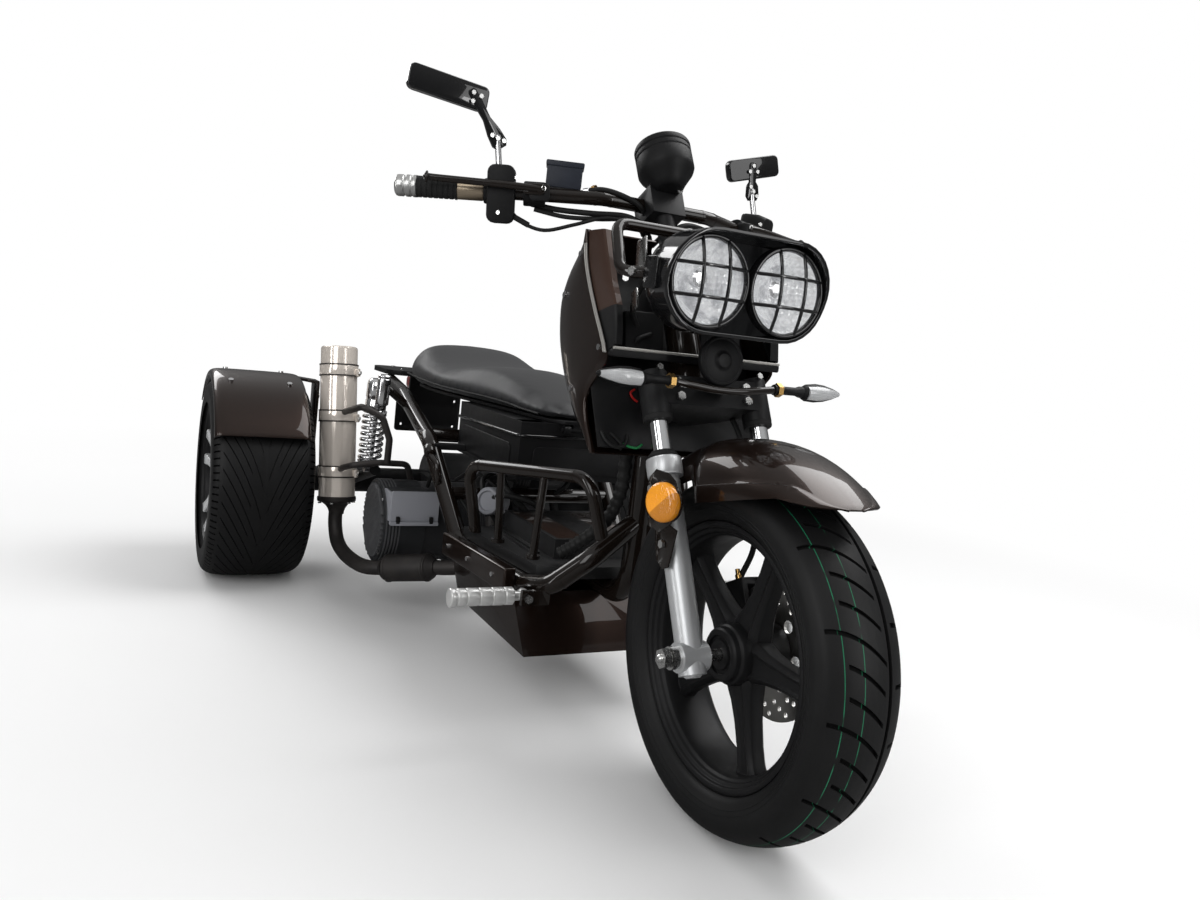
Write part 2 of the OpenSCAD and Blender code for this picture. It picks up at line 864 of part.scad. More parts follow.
module seat_base() {
    color("#101010") {
        translate([0, 0, seat_z - slip - base_t])
            linear_extrude(height = base_t)
                polygon(concat([for (r = seat_rows) if (r[2] < 9) [0.76*r[1]*seat_hw, seat_front + r[0]*seat_len]],
                    [for (i = [len(seat_rows) - 1:-1:0]) if (seat_rows[i][2] < 9)
                        [-0.76*seat_rows[i][1]*seat_hw, seat_front + seat_rows[i][0]*seat_len]]));
        x_cyl(-46, 46, hinge_y, hinge_z, hinge_d);
        translate([-24, hinge_y - 3, hinge_z])
            cube([48, 6, seat_z - slip - hinge_z - 2]);
    }
}

module peg() {
    p = peg_pivot;
    difference() {
        translate([p[0], p[1] - 9.5, p[2]])
            rotate([-90, 0, 0])
                cylinder(d = 20, h = 19);
        translate([p[0], p[1] - 12, p[2]])
            rotate([-90, 0, 0])
                cylinder(d = hinge_d + 2*slip, h = 24);
    }
    x_cyl(p[0] - 24, p[0] - 8, p[1], p[2], 16);
    x_cyl(p[0] - 20 - peg_len, p[0] - 20, p[1], p[2], peg_d - 4);
    for (i = [0:4])
        x_cyl(p[0] - 20 - peg_len + i*22, p[0] - 20 - peg_len + i*22 + 14, p[1], p[2], peg_d);
}

module peg_right() {
    color("#c4c7ca")
        peg();
}

module peg_left() {
    color("#c4c7ca")
        mirror([1, 0, 0])
            peg();
}

module fork_crown() {
    color("#1b1b1b") {
        fork_frame()
            difference() {
                union() {
                    for (s = sides)
                        translate([s*leg_x, 0, crown_s - 14])
                            cylinder(d = stanchion_d + 16, h = crown_h + 22);
                    translate([0, fork_offset, crown_s])
                        cylinder(d = 54, h = crown_h);
                    translate([0, 0, crown_s])
                        linear_extrude(height = crown_h)
                            polygon([[-leg_x, -20], [leg_x, -20], [leg_x, 14], [22, fork_offset + 18],
                                [-22, fork_offset + 18], [-leg_x, 14]]);
                    translate([0, fork_offset, crown_s])
                        cylinder(d = stem_d, h = stem_hi - crown_s);
                    for (z = [head_lo, head_hi - 12])
                        translate([0, fork_offset, z])
                            cylinder(d = stem_d + 2*run - 2*slip, h = 12);
                }
                for (s = sides)
                    translate([s*leg_x, 0, crown_s - 20])
                        cylinder(d = stanchion_d + 2*slip, h = crown_h + 22);
            }
        difference() {
            bar_clamp(0);
            pipe(bar_pts, bar_d + 2*slip, 60);
        }
    }
}

module bar_clamp(g) {
    fork_frame()
        translate([-30 - g, fork_offset - 17 - g, stem_hi - 4])
            cube([60 + 2*g, 56 + 2*g, 48 + g]);
}

module fork_legs() {
    color("#c9cbce")
        fork_frame()
            for (s = sides)
                translate([s*leg_x, 0, 0])
                    difference() {
                        union() {
                            translate([0, 0, -24])
                                cylinder(d = slider_d, h = collar_s + 10);
                            translate([0, 0, collar_s - 26])
                                cylinder(d = slider_d + 12, h = 26);
                            translate([0, 0, collar_s])
                                cylinder(d = stanchion_d, h = stanchion_top - collar_s);
                            rotate([0, 90, 0])
                                cylinder(d = 40, h = slider_d + 4, center = true);
                        }
                        rotate([0, 90, 0])
                            cylinder(d = front_axle_d + 2*slip, h = 80, center = true);
                    }
}

module front_axle() {
    color("#8f9296") {
        x_cyl(-leg_x - 34, leg_x + 34, front_y, front_tyre_r, front_axle_d);
        for (s = sides)
            x_cyl(s > 0 ? leg_x + slider_d/2 + 2 : -leg_x - slider_d/2 - 14, s > 0 ? leg_x + slider_d/2 + 14
                : -leg_x - slider_d/2 - 2, front_y, front_tyre_r, 30);
    }
}

module guard_section(t) {
    r = mudguard_r - t;
    w = mudguard_hw - t;
    polygon([[r, 0], [r - 2, 26], [r - 9, 48], [r - 24, 66], [r - 42, w - 2], [r - 64, w],
        [r - 64, -w], [r - 42, 2 - w], [r - 24, -66], [r - 9, -48], [r - 2, -26]]);
}

module front_guard() {
    color("#2a1a14")
        difference() {
            translate([0, front_y, front_tyre_r])
                rotate([0, 90, 0])
                    rotate([0, 0, 180 - 36])
                        rotate_extrude(angle = 88, $fn = 96)
                            difference() {
                                guard_section(0);
                                guard_section(wall);
                                translate([0, -200])
                                    square([mudguard_r - 63 - wall, 400]);
                            }
            // the lower edge runs level below the beak and falls towards the rear
            translate([-100, front_y, front_tyre_r])
                rotate([90, 0, 90])
                    linear_extrude(height = 200)
                        polygon([[-400, beak_z], [-110, beak_z], [49, beak_z - 40], [230, beak_z - 85],
                            [230, -100], [-400, -100]]);
            fork_frame()
                for (s = sides)
                    translate([s*leg_x, 0, -30])
                        cylinder(d = slider_d + 12 + 2*slip, h = 400);
        }
}

refl = [-119, -598, 436];
module front_reflectors() {
    color("#c47a12")
        for (s = sides)
            translate([s*-refl[0], refl[1], refl[2]])
                rotate([0, 0, s*-20])
                    rotate([0, s*90, 0])
                        cylinder(d = 54, h = 10);
    color("#1a1a1a")
        for (s = [0, 1])
            mirror([s, 0, 0])
                difference() {
                    reflector_plate();
                    fork_frame()
                        translate([-leg_x, 0, 0]) {
                            cylinder(d = slider_d + 2*slip, h = 400);
                            translate([0, 0, collar_s - 26 - slip])
                                cylinder(d = slider_d + 12 + 2*slip, h = 100);
                        }
                }
}

module reflector_plate() {
    translate([-120, -608, 398])
        cube([20, 74, 64]);
}

module handlebar() {
    color("#121212")
        pipe(bar_pts, bar_d, 60);
}

module on_bar(s) {
    a = s < 0 ? bar_pts[0] : bar_pts[3];
    b = s < 0 ? bar_pts[1] : bar_pts[2];
    u = unit(b - a);
    translate(a)
        rotate([0, acos(u[2]), atan2(u[1], u[0])])
            children();
}

module grips() {
    color("#1c1c1c")
        for (s = sides)
            on_bar(s)
                translate([0, 0, -10])
                    difference() {
                        cylinder(d = grip_d, h = grip_len + 46);
                        translate([0, 0, 10])
                            cylinder(d = bar_d + 2*slip, h = grip_len + 60);
                    }
}

module bar_controls() {
    color("#161616")
        for (s = [0, 1])
            mirror([s, 0, 0])
                difference() {
                    union() {
                        on_bar(-1) {
                            translate([0, 0, grip_len + 38])
                                cylinder(d = 46, h = 44);
                            translate([0, 0, grip_len + 94])
                                cylinder(d = 38, h = 34);
                        }
                        rod(bar_mid + [-206, 44, -6], bar_mid + [-204, 18, 0], 22);
                        rod(bar_mid + [-204, 18, 0], bar_mid + [-361, 80, -3], 10);
                        translate(bar_mid + [-361, 80, -3])
                            sphere(d = 16, $fn = 32);
                        if (s == 0)
                            translate(bar_mid + [-190, 34, 6])
                                rotate([0, 0, -24])
                                    cube([62, 40, 36]);
                    }
                    on_bar(-1)
                        cylinder(d = bar_d + 2*slip, h = 400);
                    rod(bar_mid + [-247, 68, 13], bar_mid + [s == 0 ? -252 : -238, 84, 70], 12 + bead_t + 2*slip);
                }
}

module gauge() {
    color("#141414")
        difference() {
            union() {
                translate(bar_mid + [0, -16, 56])
                    rotate([-30, 0, 0])
                        rotate_extrude($fn = 64)
                            polygon([[0, -34], [22, -34], [30, -24], [gauge_d/2 - 2, -8], [gauge_d/2, 0],
                                [gauge_d/2, 42], [gauge_d/2 - 4, 46], [0, 46]]);
                rod(bar_mid + [0, -20, 49], bar_mid + [0, -16, 4], 26);
            }
            bar_clamp(0);
        }
}

module mirrors() {
    color("#101010") {
        // rows: head middle, tilt, head length, arm from head to the bar
        for (m = [[[-337, 90, 133], -6, mirror_len, [[-300, 90, 130], [-252, 84, 70], [-247, 68, 13]]],
                [[236, 90, 115], 16, mirror_len - 20, [[232, 90, 110], [238, 84, 70], [247, 68, 13]]]]) {
            translate(bar_mid + m[0])
                rotate([90, -m[1], 0])
                    linear_extrude(height = 22, center = true)
                        round_rect(m[2], mirror_h, 8);
            pipe([for (q = m[3]) bar_mid + q], 12, 20);
        }
    }
}

signal_p = fork_pt(0, -53, crown_s + 19.5);
module front_signals() {
    color("#d7d9da")
        for (s = sides) {
            x_cyl(s > 0 ? 84 : -136, s > 0 ? 136 : -84, signal_p[1], signal_p[2], 16);
            translate([s*170, signal_p[1], signal_p[2]])
                rotate([90, 0, 0])
                    linear_extrude(height = 26, center = true)
                        polygon([[-s*36, 12], [-s*36, -10], [-s*6, -14], [s*38, -4], [s*38, 3], [-s*8, 15]]);
        }
    color("#1b1b1b") {
        translate(signal_p + [-90, -6, -6])
            cube([180, 12, 12]);
        difference() {
            translate(signal_p + [-26, 0, -7])
                cube([52, 60, 14]);
            fork_frame()
                translate([-100, -20, crown_s - 100])
                    cube([200, 200, 300]);
        }
    }
}

module brake_caliper() {
    color("#2c2c2c")
        fork_frame()
            difference() {
                scale([1, caliper_k, caliper_k]) {
                    translate([34, 26, 34])
                        cube([36, 50, 74]);
                    translate([64, 6, 44])
                        cube([14, 24, 50]);
                }
                rotate([0, 90, 0])
                    translate([0, 0, 43])
                        cylinder(r = disc_r + 6, h = 14);
                translate([leg_x, 0, -30])
                    cylinder(d = slider_d + 2*slip, h = 300);
            }
}

module brake_hose() {
    color("#161616")
        fork_frame()
            difference() {
                pipe([[leg_x - 28, 22, crown_s + 4], [leg_x + 8, 36, 296], [leg_x + 8, 38, 176], [54, 60, 104]], 9, 26);
                translate([0, 0, crown_s - slip])
                    cube([200, 200, 40]);
                translate([0, 0, 108 + slip - 40])
                    cube([200, 200, 40]);
            }
}

module front_tyre() {
    color("#1a1a1b")
        x_turn(0, front_y, front_tyre_r)
            polygon([[front_rim_r + 1, -44], [front_rim_r + 14, -54], [front_tyre_r - 40, -front_tyre_w/2],
                [front_tyre_r - 24, -front_tyre_w/2 + 1], [front_tyre_r - 10, -front_tyre_w/2 + 18],
                [front_tyre_r - 3, -26], [front_tyre_r, -8], [front_tyre_r, 8], [front_tyre_r - 3, 26],
                [front_tyre_r - 10, front_tyre_w/2 - 18], [front_tyre_r - 24, front_tyre_w/2 - 1],
                [front_tyre_r - 40, front_tyre_w/2], [front_rim_r + 14, 54], [front_rim_r + 1, 44]]);
}

module front_rim() {
    color("#1d1e1f") {
        x_turn(0, front_y, front_tyre_r)
            polygon([[front_rim_r, -48], [front_rim_r, 48], [front_rim_r - 12, 48], [front_rim_r - 20, 30],
                [front_rim_r - 20, -30], [front_rim_r - 12, -48]]);
        x_turn(0, front_y, front_tyre_r)
            polygon([[front_axle_r + slip, -42], [36, -42], [42, -26], [42, 26], [40, 48], [front_axle_r + slip, 48]]);
        for (i = [0:4])
            translate([0, front_y, front_tyre_r])
                rotate([18 + i*72, 0, 0])
                    translate([-17, 0, 0])
                        rotate([90, 0, 90])
                            linear_extrude(height = 34)
                                polygon([[-25, 36], [25, 36], [17, front_rim_r - 17], [-17, front_rim_r - 17]]);
    }
}

module front_disc() {
    color("#9b9ea2")
        x_turn(0, front_y, front_tyre_r)
            polygon([[26, 48], [disc_r, 48], [disc_r, 52], [26, 52]]);
}

module rear_tyre(s) {
    color("#1a1a1b")
        x_turn(s*rear_x, rear_y, rear_tyre_r)
            rear_tyre_section();
}

module rear_tyre_section() {
    h = rear_tyre_w/2;
    polygon([[rear_rim_r + 1, -h + 12], [rear_rim_r + 14, -h + 3], [rear_tyre_r - 34, -h], [rear_tyre_r - 18, -h + 3],
        [rear_tyre_r - 5, -h + 20], [rear_tyre_r - 1, -h + 50], [rear_tyre_r, -h + 80], [rear_tyre_r, h - 80],
        [rear_tyre_r - 1, h - 50], [rear_tyre_r - 5, h - 20], [rear_tyre_r - 18, h - 3], [rear_tyre_r - 34, h],
        [rear_rim_r + 14, h - 3], [rear_rim_r + 1, h - 12]]);
}

module rear_rim(s) {
    h = rear_tyre_w/2;
    color("#8a8c8f") {
        x_turn(s*rear_x, rear_y, rear_tyre_r)
            polygon([[rear_rim_r, -h + 12], [rear_rim_r, h - 12], [rear_rim_r - 8, h - 12], [rear_rim_r - 16, h - 40],
                [rear_rim_r - 16, 40 - h], [rear_rim_r - 8, 12 - h]]);
        x_cyl(s > 0 ? axle_end + run : -rear_x - 62, s > 0 ? rear_x + 62 : -axle_end - run, rear_y, rear_tyre_r, 100);
        x_cyl(s > 0 ? axle_end - 34 : -axle_end - run - 2, s > 0 ? axle_end + run + 2 : -axle_end + 34, rear_y,
            rear_tyre_r, rear_shaft_d);
        for (i = [0:4], o = [-13, 13])
            translate([s*(rear_x + 48), rear_y, rear_tyre_r])
                rotate([i*72 + o, 0, 0])
                    translate([-9, -11, 36])
                        cube([18, 22, rear_rim_r - 14 - 36]);
    }
}

module rear_tyre_right() {
    rear_tyre(-1);
}

module rear_rim_right() {
    rear_rim(-1);
}

module rear_tyre_left() {
    rear_tyre(1);
}

module rear_rim_left() {
    rear_rim(1);
}

frame_head();
frame_right();
frame_left();
leg_shield();
shield_liner();
lamp_surround();
headlamps();
floor_deck();
sills();
belly_pan();
guard_hoops();
wiring_loom();
engine_case();
engine_shroud();
engine_barrel();
exhaust_pipe();
silencer();
storage_box();
rear_carrier();
rear_dampers();
drive_chain();
rear_guards();
tail_unit();
tail_lamp();
seat();
seat_base();
peg_right();
peg_left();
fork_crown();
fork_legs();
front_axle();
front_guard();
front_reflectors();
handlebar();
grips();
bar_controls();
gauge();
mirrors();
front_signals();
brake_caliper();
brake_hose();
front_tyre();
front_rim();
front_disc();
rear_tyre_right();
rear_rim_right();
rear_tyre_left();
rear_rim_left();
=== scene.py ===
"""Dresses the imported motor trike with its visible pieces, finishes, floor, lamps and camera."""

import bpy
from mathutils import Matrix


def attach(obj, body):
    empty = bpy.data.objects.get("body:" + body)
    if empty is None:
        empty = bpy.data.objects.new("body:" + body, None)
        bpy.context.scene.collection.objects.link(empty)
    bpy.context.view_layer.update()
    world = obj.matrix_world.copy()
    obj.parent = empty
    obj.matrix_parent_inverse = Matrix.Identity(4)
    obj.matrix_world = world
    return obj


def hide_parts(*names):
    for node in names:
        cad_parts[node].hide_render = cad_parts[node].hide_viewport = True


bl_info = {
    "name": "Motor trike",
    "version": (1, 0, 0),
    "blender": (4, 5, 0),
    "location": "3D View > Sidebar > Trike",
    "description": "Models the visible pieces of the motor trike around its packed frame",
    "category": "Object",
}

import math

import bmesh
import bpy
from bpy.props import FloatProperty, FloatVectorProperty, IntProperty, PointerProperty
from mathutils import Matrix, Vector

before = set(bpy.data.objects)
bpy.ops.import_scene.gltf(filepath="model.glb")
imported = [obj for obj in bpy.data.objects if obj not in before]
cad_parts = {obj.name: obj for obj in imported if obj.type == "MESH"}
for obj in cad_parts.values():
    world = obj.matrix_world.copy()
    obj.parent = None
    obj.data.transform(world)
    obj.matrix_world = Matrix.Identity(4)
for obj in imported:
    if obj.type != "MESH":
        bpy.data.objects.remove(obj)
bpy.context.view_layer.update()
# Angle of the fork and places of the axles, in radians and metres.
CASTER = math.radians(27.3)
FRONT_Y, FRONT_Z = -0.655, 0.243
REAR_X, REAR_Y, REAR_Z = 0.473, 0.655, 0.229
FRONT_AXLE = Vector((0, FRONT_Y, FRONT_Z))
REAR_AXLE = Vector((0, REAR_Y, REAR_Z))
# The steering axis lies this many millimetres behind the front axle.
STEM_BEHIND = 35
SPOKES = 5
# Nearer to the axle than this radius, a tyre's rings stay unturned.
TREAD_FROM = 0.19
SIDES = (-1, 1)
NAMED_SIDES = ((-1, "right"), (1, "left"))
CROSS, AFT, AHEAD, UP = Vector((1, 0, 0)), Vector((0, 1, 0)), Vector((0, -1, 0)), Vector((0, 0, 1))


def mm(x, y, z):
    """A place given in millimetres."""
    return Vector((x, y, z)) / 1000


def fork(x, f, s):
    """A place in the fork's own frame: across, behind and up along the legs, in millimetres."""
    up = Vector((0, math.sin(CASTER), math.cos(CASTER)))
    back = Vector((0, math.cos(CASTER), -math.sin(CASTER)))
    return FRONT_AXLE + (Vector((x, 0, 0)) + back * f + up * s) / 1000


FORK_UP = (fork(0, 0, 1000) - fork(0, 0, 0)).normalized()
FORK_BACK = (fork(0, 1000, 0) - fork(0, 0, 0)).normalized()
BAR_MID = fork(0, 52, 717)
LAMP_Z = fork(0, STEM_BEHIND, 567).z
LAMP_Y = FRONT_Y + STEM_BEHIND / 1000 / math.cos(CASTER) + (LAMP_Z - FRONT_Z) * math.tan(CASTER) - 0.192


def on_bar(x, y, z):
    """A place from the middle of the handlebar, in millimetres."""
    return BAR_MID + mm(x, y, z)


def rear_hub(side):
    """The middle of a rear wheel."""
    return REAR_AXLE + Vector((side * REAR_X, 0, 0))


class TrikeSizes(bpy.types.PropertyGroup):
    """Sizes of the dressed pieces that a user would change."""

    tread_depth: FloatProperty(name="Tread depth", description="Depth of the tyre grooves", default=0.005,
                               unit="LENGTH")
    front_slots: IntProperty(name="Front slots", description="Curved slots round the front tyre", default=42, min=12)
    rear_grooves: IntProperty(name="Rear grooves", description="Swept grooves round each rear tyre", default=40,
                              min=12)
    spring_wire: FloatProperty(name="Spring wire", description="Wire radius of the rear springs", default=0.0042,
                               unit="LENGTH")
    spring_turns: IntProperty(name="Spring turns", description="Turns of each rear spring", default=8, min=4)
    seat_swell: FloatProperty(name="Seat swell", description="Furthest that the seat foam pushes its cover",
                              default=0.007, unit="LENGTH")
    lens: FloatProperty(name="Lens", description="Focal length of the camera", default=27.96, unit="CAMERA")


class TrikeColours(bpy.types.PropertyGroup):
    """Colours of the finishes."""

    body: FloatVectorProperty(name="Body paint", description="Dark brown gloss paint",
                              default=(0.022, 0.0128, 0.0097), subtype="COLOR")
    tube: FloatVectorProperty(name="Tube paint", description="Gloss black of the frame tubes",
                              default=(0.008, 0.0055, 0.0042), subtype="COLOR")
    cast: FloatVectorProperty(name="Cast black", description="Satin black of the castings",
                              default=(0.009, 0.009, 0.0095), subtype="COLOR")
    plastic: FloatVectorProperty(name="Black plastic", description="Moulded black plastic",
                                 default=(0.006, 0.006, 0.0065), subtype="COLOR")
    rubber: FloatVectorProperty(name="Tyre rubber", description="Rubber of the tyres", default=(0.006, 0.006, 0.0063),
                                subtype="COLOR")
    vinyl: FloatVectorProperty(name="Seat vinyl", description="Cover of the seat", default=(0.014, 0.0145, 0.016),
                               subtype="COLOR")
    alloy: FloatVectorProperty(name="Fork silver", description="Silver of the fork sliders",
                               default=(0.60, 0.61, 0.62), subtype="COLOR")
    steel: FloatVectorProperty(name="Polished steel", description="Skin of the silencer", default=(0.90, 0.82, 0.74),
                               subtype="COLOR")
    amber: FloatVectorProperty(name="Amber", description="Side reflectors", default=(0.85, 0.30, 0.012),
                               subtype="COLOR")
    line: FloatVectorProperty(name="Tyre line", description="Thin moulding lines round the front tyre",
                              default=(0.010, 0.16, 0.075), subtype="COLOR")
    floor: FloatVectorProperty(name="Floor", description="Pale studio floor", default=(0.92, 0.92, 0.92),
                               subtype="COLOR")


def sizes():
    """The sizes that a user can change."""
    return bpy.context.scene.trike_sizes


def colour(name):
    """A colour of that name with full cover."""
    return (*getattr(bpy.context.scene.trike_colours, name), 1)


class Num:
    """A value of a finish that takes part in Python arithmetic."""

    def __init__(self, finish, socket):
        self.finish, self.socket = finish, socket

    def do(self, operation, *values):
        """The result of a Math node."""
        return self.finish.node("ShaderNodeMath", {"operation": operation}, dict(enumerate(values)))["Value"]

    def __add__(self, other):
        return self.do("ADD", self, other)

    def __sub__(self, other):
        return self.do("SUBTRACT", self, other)

    def __rsub__(self, other):
        return self.do("SUBTRACT", other, self)

    def __mul__(self, other):
        return self.do("MULTIPLY", self, other)

    def __lt__(self, other):
        return self.do("LESS_THAN", self, other)

    def __gt__(self, other):
        return self.do("GREATER_THAN", self, other)

    def __abs__(self):
        return self.do("ABSOLUTE", self)

    __radd__ = __add__
    __rmul__ = __mul__

    def soft(self, low, high):
        """0 below low, 1 above high, smooth between."""
        return self.finish.node("ShaderNodeMapRange", {"interpolation_type": "SMOOTHSTEP"},
                                {"Value": self, "From Min": low, "From Max": high})["Result"]


class Finish:
    """A procedural material for one kind of surface."""

    def __init__(self, name, group="materials"):
        self.material = getattr(bpy.data, group).new(name)
        self.material.use_nodes = True
        self.tree = self.material.node_tree
        self.tree.nodes.clear()
        self.place = self.node("ShaderNodeTexCoord")["Object"]

    def node(self, kind, settings=None, inputs=None):
        """Adds a node, sets its settings and then its sockets, and gives its outputs by name."""
        made = self.tree.nodes.new(kind)
        for key, value in (settings or {}).items():
            setattr(made, key, value)
        for key, value in (inputs or {}).items():
            socket = made.inputs[key] if isinstance(key, int) else next(s
                    for s in made.inputs if s.name == key and s.enabled)
            if isinstance(value, Num):
                self.tree.links.new(value.socket, socket)
            else:
                socket.default_value = value
        return {o.name: Num(self, o) for o in made.outputs if o.enabled}

    def noise(self, scale, detail=3, stretch=None):
        """Soft noise of a scale, stretched along the axes where that is given."""
        place = self.place
        if stretch:
            place = self.node("ShaderNodeMapping", None, {"Vector": place, "Scale": stretch})["Vector"]
        return self.node("ShaderNodeTexNoise", None,
                         {"Vector": place, "Scale": scale, "Detail": detail, "Roughness": 0.55})["Fac"]

    def cells(self, scale, feature="F1", loose=1.0):
        """Distance from the middles of cells, which lie in rows when they are not loose."""
        return self.node("ShaderNodeTexVoronoi", {"feature": feature},
                         {"Vector": self.place, "Scale": scale, "Randomness": loose})["Distance"]

    def axes(self, turn=(0, 0, 0), shift=(0, 0, 0)):
        """The three coordinates, after a shift and a turn."""
        at = self.node("ShaderNodeMapping", {"vector_type": "TEXTURE"}, {"Vector": self.place, "Location": shift,
                "Rotation": turn})["Vector"]
        split = self.node("ShaderNodeSeparateXYZ", None, {"Vector": at})
        return split["X"], split["Y"], split["Z"]

    def blend(self, share, first, second):
        """A share of the second colour over the first."""
        return self.node("ShaderNodeMix", {"data_type": "RGBA"}, {"Factor": share, "A": first, "B": second})["Result"]

    def bump(self, height, strength, distance):
        """A normal that follows a height, over a distance in metres."""
        return self.node("ShaderNodeBump", None, {"Height": height, "Strength": strength,
                                                  "Distance": distance})["Normal"]

    def surface(self, **inputs):
        """The finished material, from inputs of the Principled shader by name."""
        named = {key.replace("_", " "): value for key, value in inputs.items()}
        made = self.node("ShaderNodeBsdfPrincipled", None, named)["BSDF"]
        self.node("ShaderNodeOutputMaterial", None, {"Surface": made})
        return self.material


def shade(tone, share):
    """A colour made lighter or darker."""
    return (*[min(1, c * share) for c in tone[:3]], 1)


FINISHES = {}


def finish(name):
    """The finish of that name, made when it is first asked for."""
    if name not in FINISHES:
        FINISHES[name] = MAKERS[name](Finish(name))
    return FINISHES[name]


def gloss_paint(f, tone, rough=0.28, flake=0.0, coat=1.0, peel=0.012, dust=0.04, ior=1.5):
    """Sprayed gloss paint under a clear coat, with faint orange peel, cloudy tone and a little dust."""
    cloud = f.noise(4, 2)
    smear = f.noise(30, 3).soft(0.45, 0.8)
    return f.surface(Base_Color=f.blend(cloud, shade(tone, 0.92), shade(tone, 1.1)), Metallic=flake,
                     Roughness=smear * dust + rough, Specular_IOR_Level=0.1, Coat_Weight=coat, Coat_Roughness=0.025,
                     Coat_IOR=ior,
                     Normal=f.bump(f.noise(420, 2), peel, 0.0006))


def satin(f, tone, rough=0.45, metal=0.0, grain=900, depth=0.12, lift=1.5):
    """Cast or moulded surface with fine grain and lighter rubbed places."""
    rub = f.noise(16, 5).soft(0.52, 0.78)
    return f.surface(Base_Color=f.blend(rub, tone, shade(tone, lift)), Metallic=metal,
                     Roughness=f.noise(60, 3) * 0.16 + (rough - 0.08), Specular_IOR_Level=0.22,
                     Normal=f.bump(f.noise(grain, 3), depth, 0.0008))


def metal(f, tone, rough=0.2, stretch=(1, 1, 1), scratch=0.05, stain=0.10, bare=1.0):
    """Bare metal with fine scratches along one direction and faint stains."""
    lines = f.noise(240, 4, stretch)
    patch = f.noise(11, 4).soft(0.5, 0.8)
    return f.surface(Base_Color=f.blend(patch, tone, shade(tone, 1 - 2 * stain)), Metallic=bare,
                     Roughness=lines * 0.14 + patch * stain + (rough - 0.05), Normal=f.bump(lines, scratch, 0.0004))


def tyre_rubber(f, lined):
    """Tyre rubber with a fine skin, groove floors darkened as painted shade, and thin moulding lines on the front
    tyre.
    """
    tone = colour("rubber")
    worn = f.noise(14, 5)
    base = f.blend(worn, shade(tone, 0.75), shade(tone, 1.5))
    # Painted shade: the groove floors that groove() marks are darkened to 0.15 of the rubber's tone, and made
    # rougher.
    deep = f.node("ShaderNodeAttribute", {"attribute_name": "groove"})["Fac"]
    base = f.blend(deep, base, shade(tone, 0.15))
    fine = f.noise(70, 4) * 0.6 + f.noise(1300, 2) * 0.4
    if lined:
        x = f.axes()[0]
        marks = 0
        for at in (-0.038, -0.014):
            marks = (abs(x - at) < 0.00055) + marks
        base = f.blend(marks * f.noise(26, 2).soft(0.34, 0.52) * 0.85, base, colour("line"))
    return f.surface(Base_Color=base, Roughness=worn * 0.16 + 0.40 + deep * 0.35, Specular_IOR_Level=0.24,
                     Normal=f.bump(fine, 0.2, 0.0009))


def seat_vinyl(f):
    """Grained vinyl with a soft sheen."""
    grain = f.cells(620, "SMOOTH_F1") + f.noise(900, 2) * 0.4
    worn = f.noise(9, 4)
    tone = colour("vinyl")
    return f.surface(Base_Color=f.blend(worn, shade(tone, 0.85), shade(tone, 1.3)), Roughness=worn * 0.14 + 0.46,
                     Specular_IOR_Level=0.45, Sheen_Weight=0.05, Sheen_Roughness=0.5,
                     Normal=f.bump(grain, 0.2, 0.0006))


def fork_silver(f):
    """Silver sliders below the collars and hard chrome above them."""
    along_leg = f.axes((-CASTER, 0, 0), tuple(FRONT_AXLE))[2]
    chrome = along_leg.soft(0.2705, 0.2715)
    tone = colour("alloy")
    fleck = f.noise(1400, 2)
    return f.surface(Base_Color=f.blend(chrome, f.blend(fleck, shade(tone, 0.9), shade(tone, 1.08)),
                                        (0.78, 0.79, 0.8, 1)),
                     Metallic=chrome * 0.35 + 0.65, Roughness=0.34 - chrome * 0.26 + f.noise(30, 4) * 0.06,
                     Normal=f.bump(fleck, 0.03, 0.0004))


def exhaust_steel(f):
    """Heat-stained matte exhaust."""
    patch = f.noise(22, 5)
    return f.surface(Base_Color=f.blend(patch, (0.020, 0.020, 0.021, 1), (0.062, 0.054, 0.050, 1)), Metallic=0.55,
                     Roughness=patch * 0.2 + 0.42, Normal=f.bump(f.noise(700, 3), 0.14, 0.0008))


def reflector_bowl(f):
    """Faceted lamp reflector, with painted reflection streaks in its colour and a faint painted glow from its
    emission.
    """
    facets = f.cells(110, loose=0.25)
    # Painted reflection: bright and dark streaks in the base colour; painted glow: a faint emission in the same
    # streaks, though the lamp is unlit.
    painted_reflection_streak = f.noise(34, 3, (1, 1, 0.22)).soft(0.40, 0.62)
    return f.surface(Base_Color=f.blend(painted_reflection_streak, (0.97, 0.97, 0.97, 1), (0.50, 0.51, 0.53, 1)), Metallic=0.5,
                     Roughness=f.noise(40) * 0.08 + 0.08,
                     Emission_Color=f.blend(painted_reflection_streak, (0.9, 0.92, 0.95, 1), (0.35, 0.36, 0.38, 1)),
                     Emission_Strength=0.16,
                     Normal=f.bump(facets, 0.8, 0.006))


def coloured_lens(f, tone, split=False):
    """Moulded coloured lens of small prisms, with one half lighter where it is split."""
    prisms = f.cells(330, loose=0.0)
    share = f.noise(40) * 0.25
    if split:
        _, y, z = f.axes(shift=(0, -0.603, 0.436))
        share = share + (y * 0.8 + z * 0.75).soft(-0.001, 0.001) * 0.75
    return f.surface(Base_Color=f.blend(share, shade(tone, 0.55), shade(tone, 1.25)),
                     Roughness=f.noise(60) * 0.08 + 0.1,
                     Coat_Weight=1.0, Coat_Roughness=0.03, Normal=f.bump(prisms, 0.35, 0.0015))


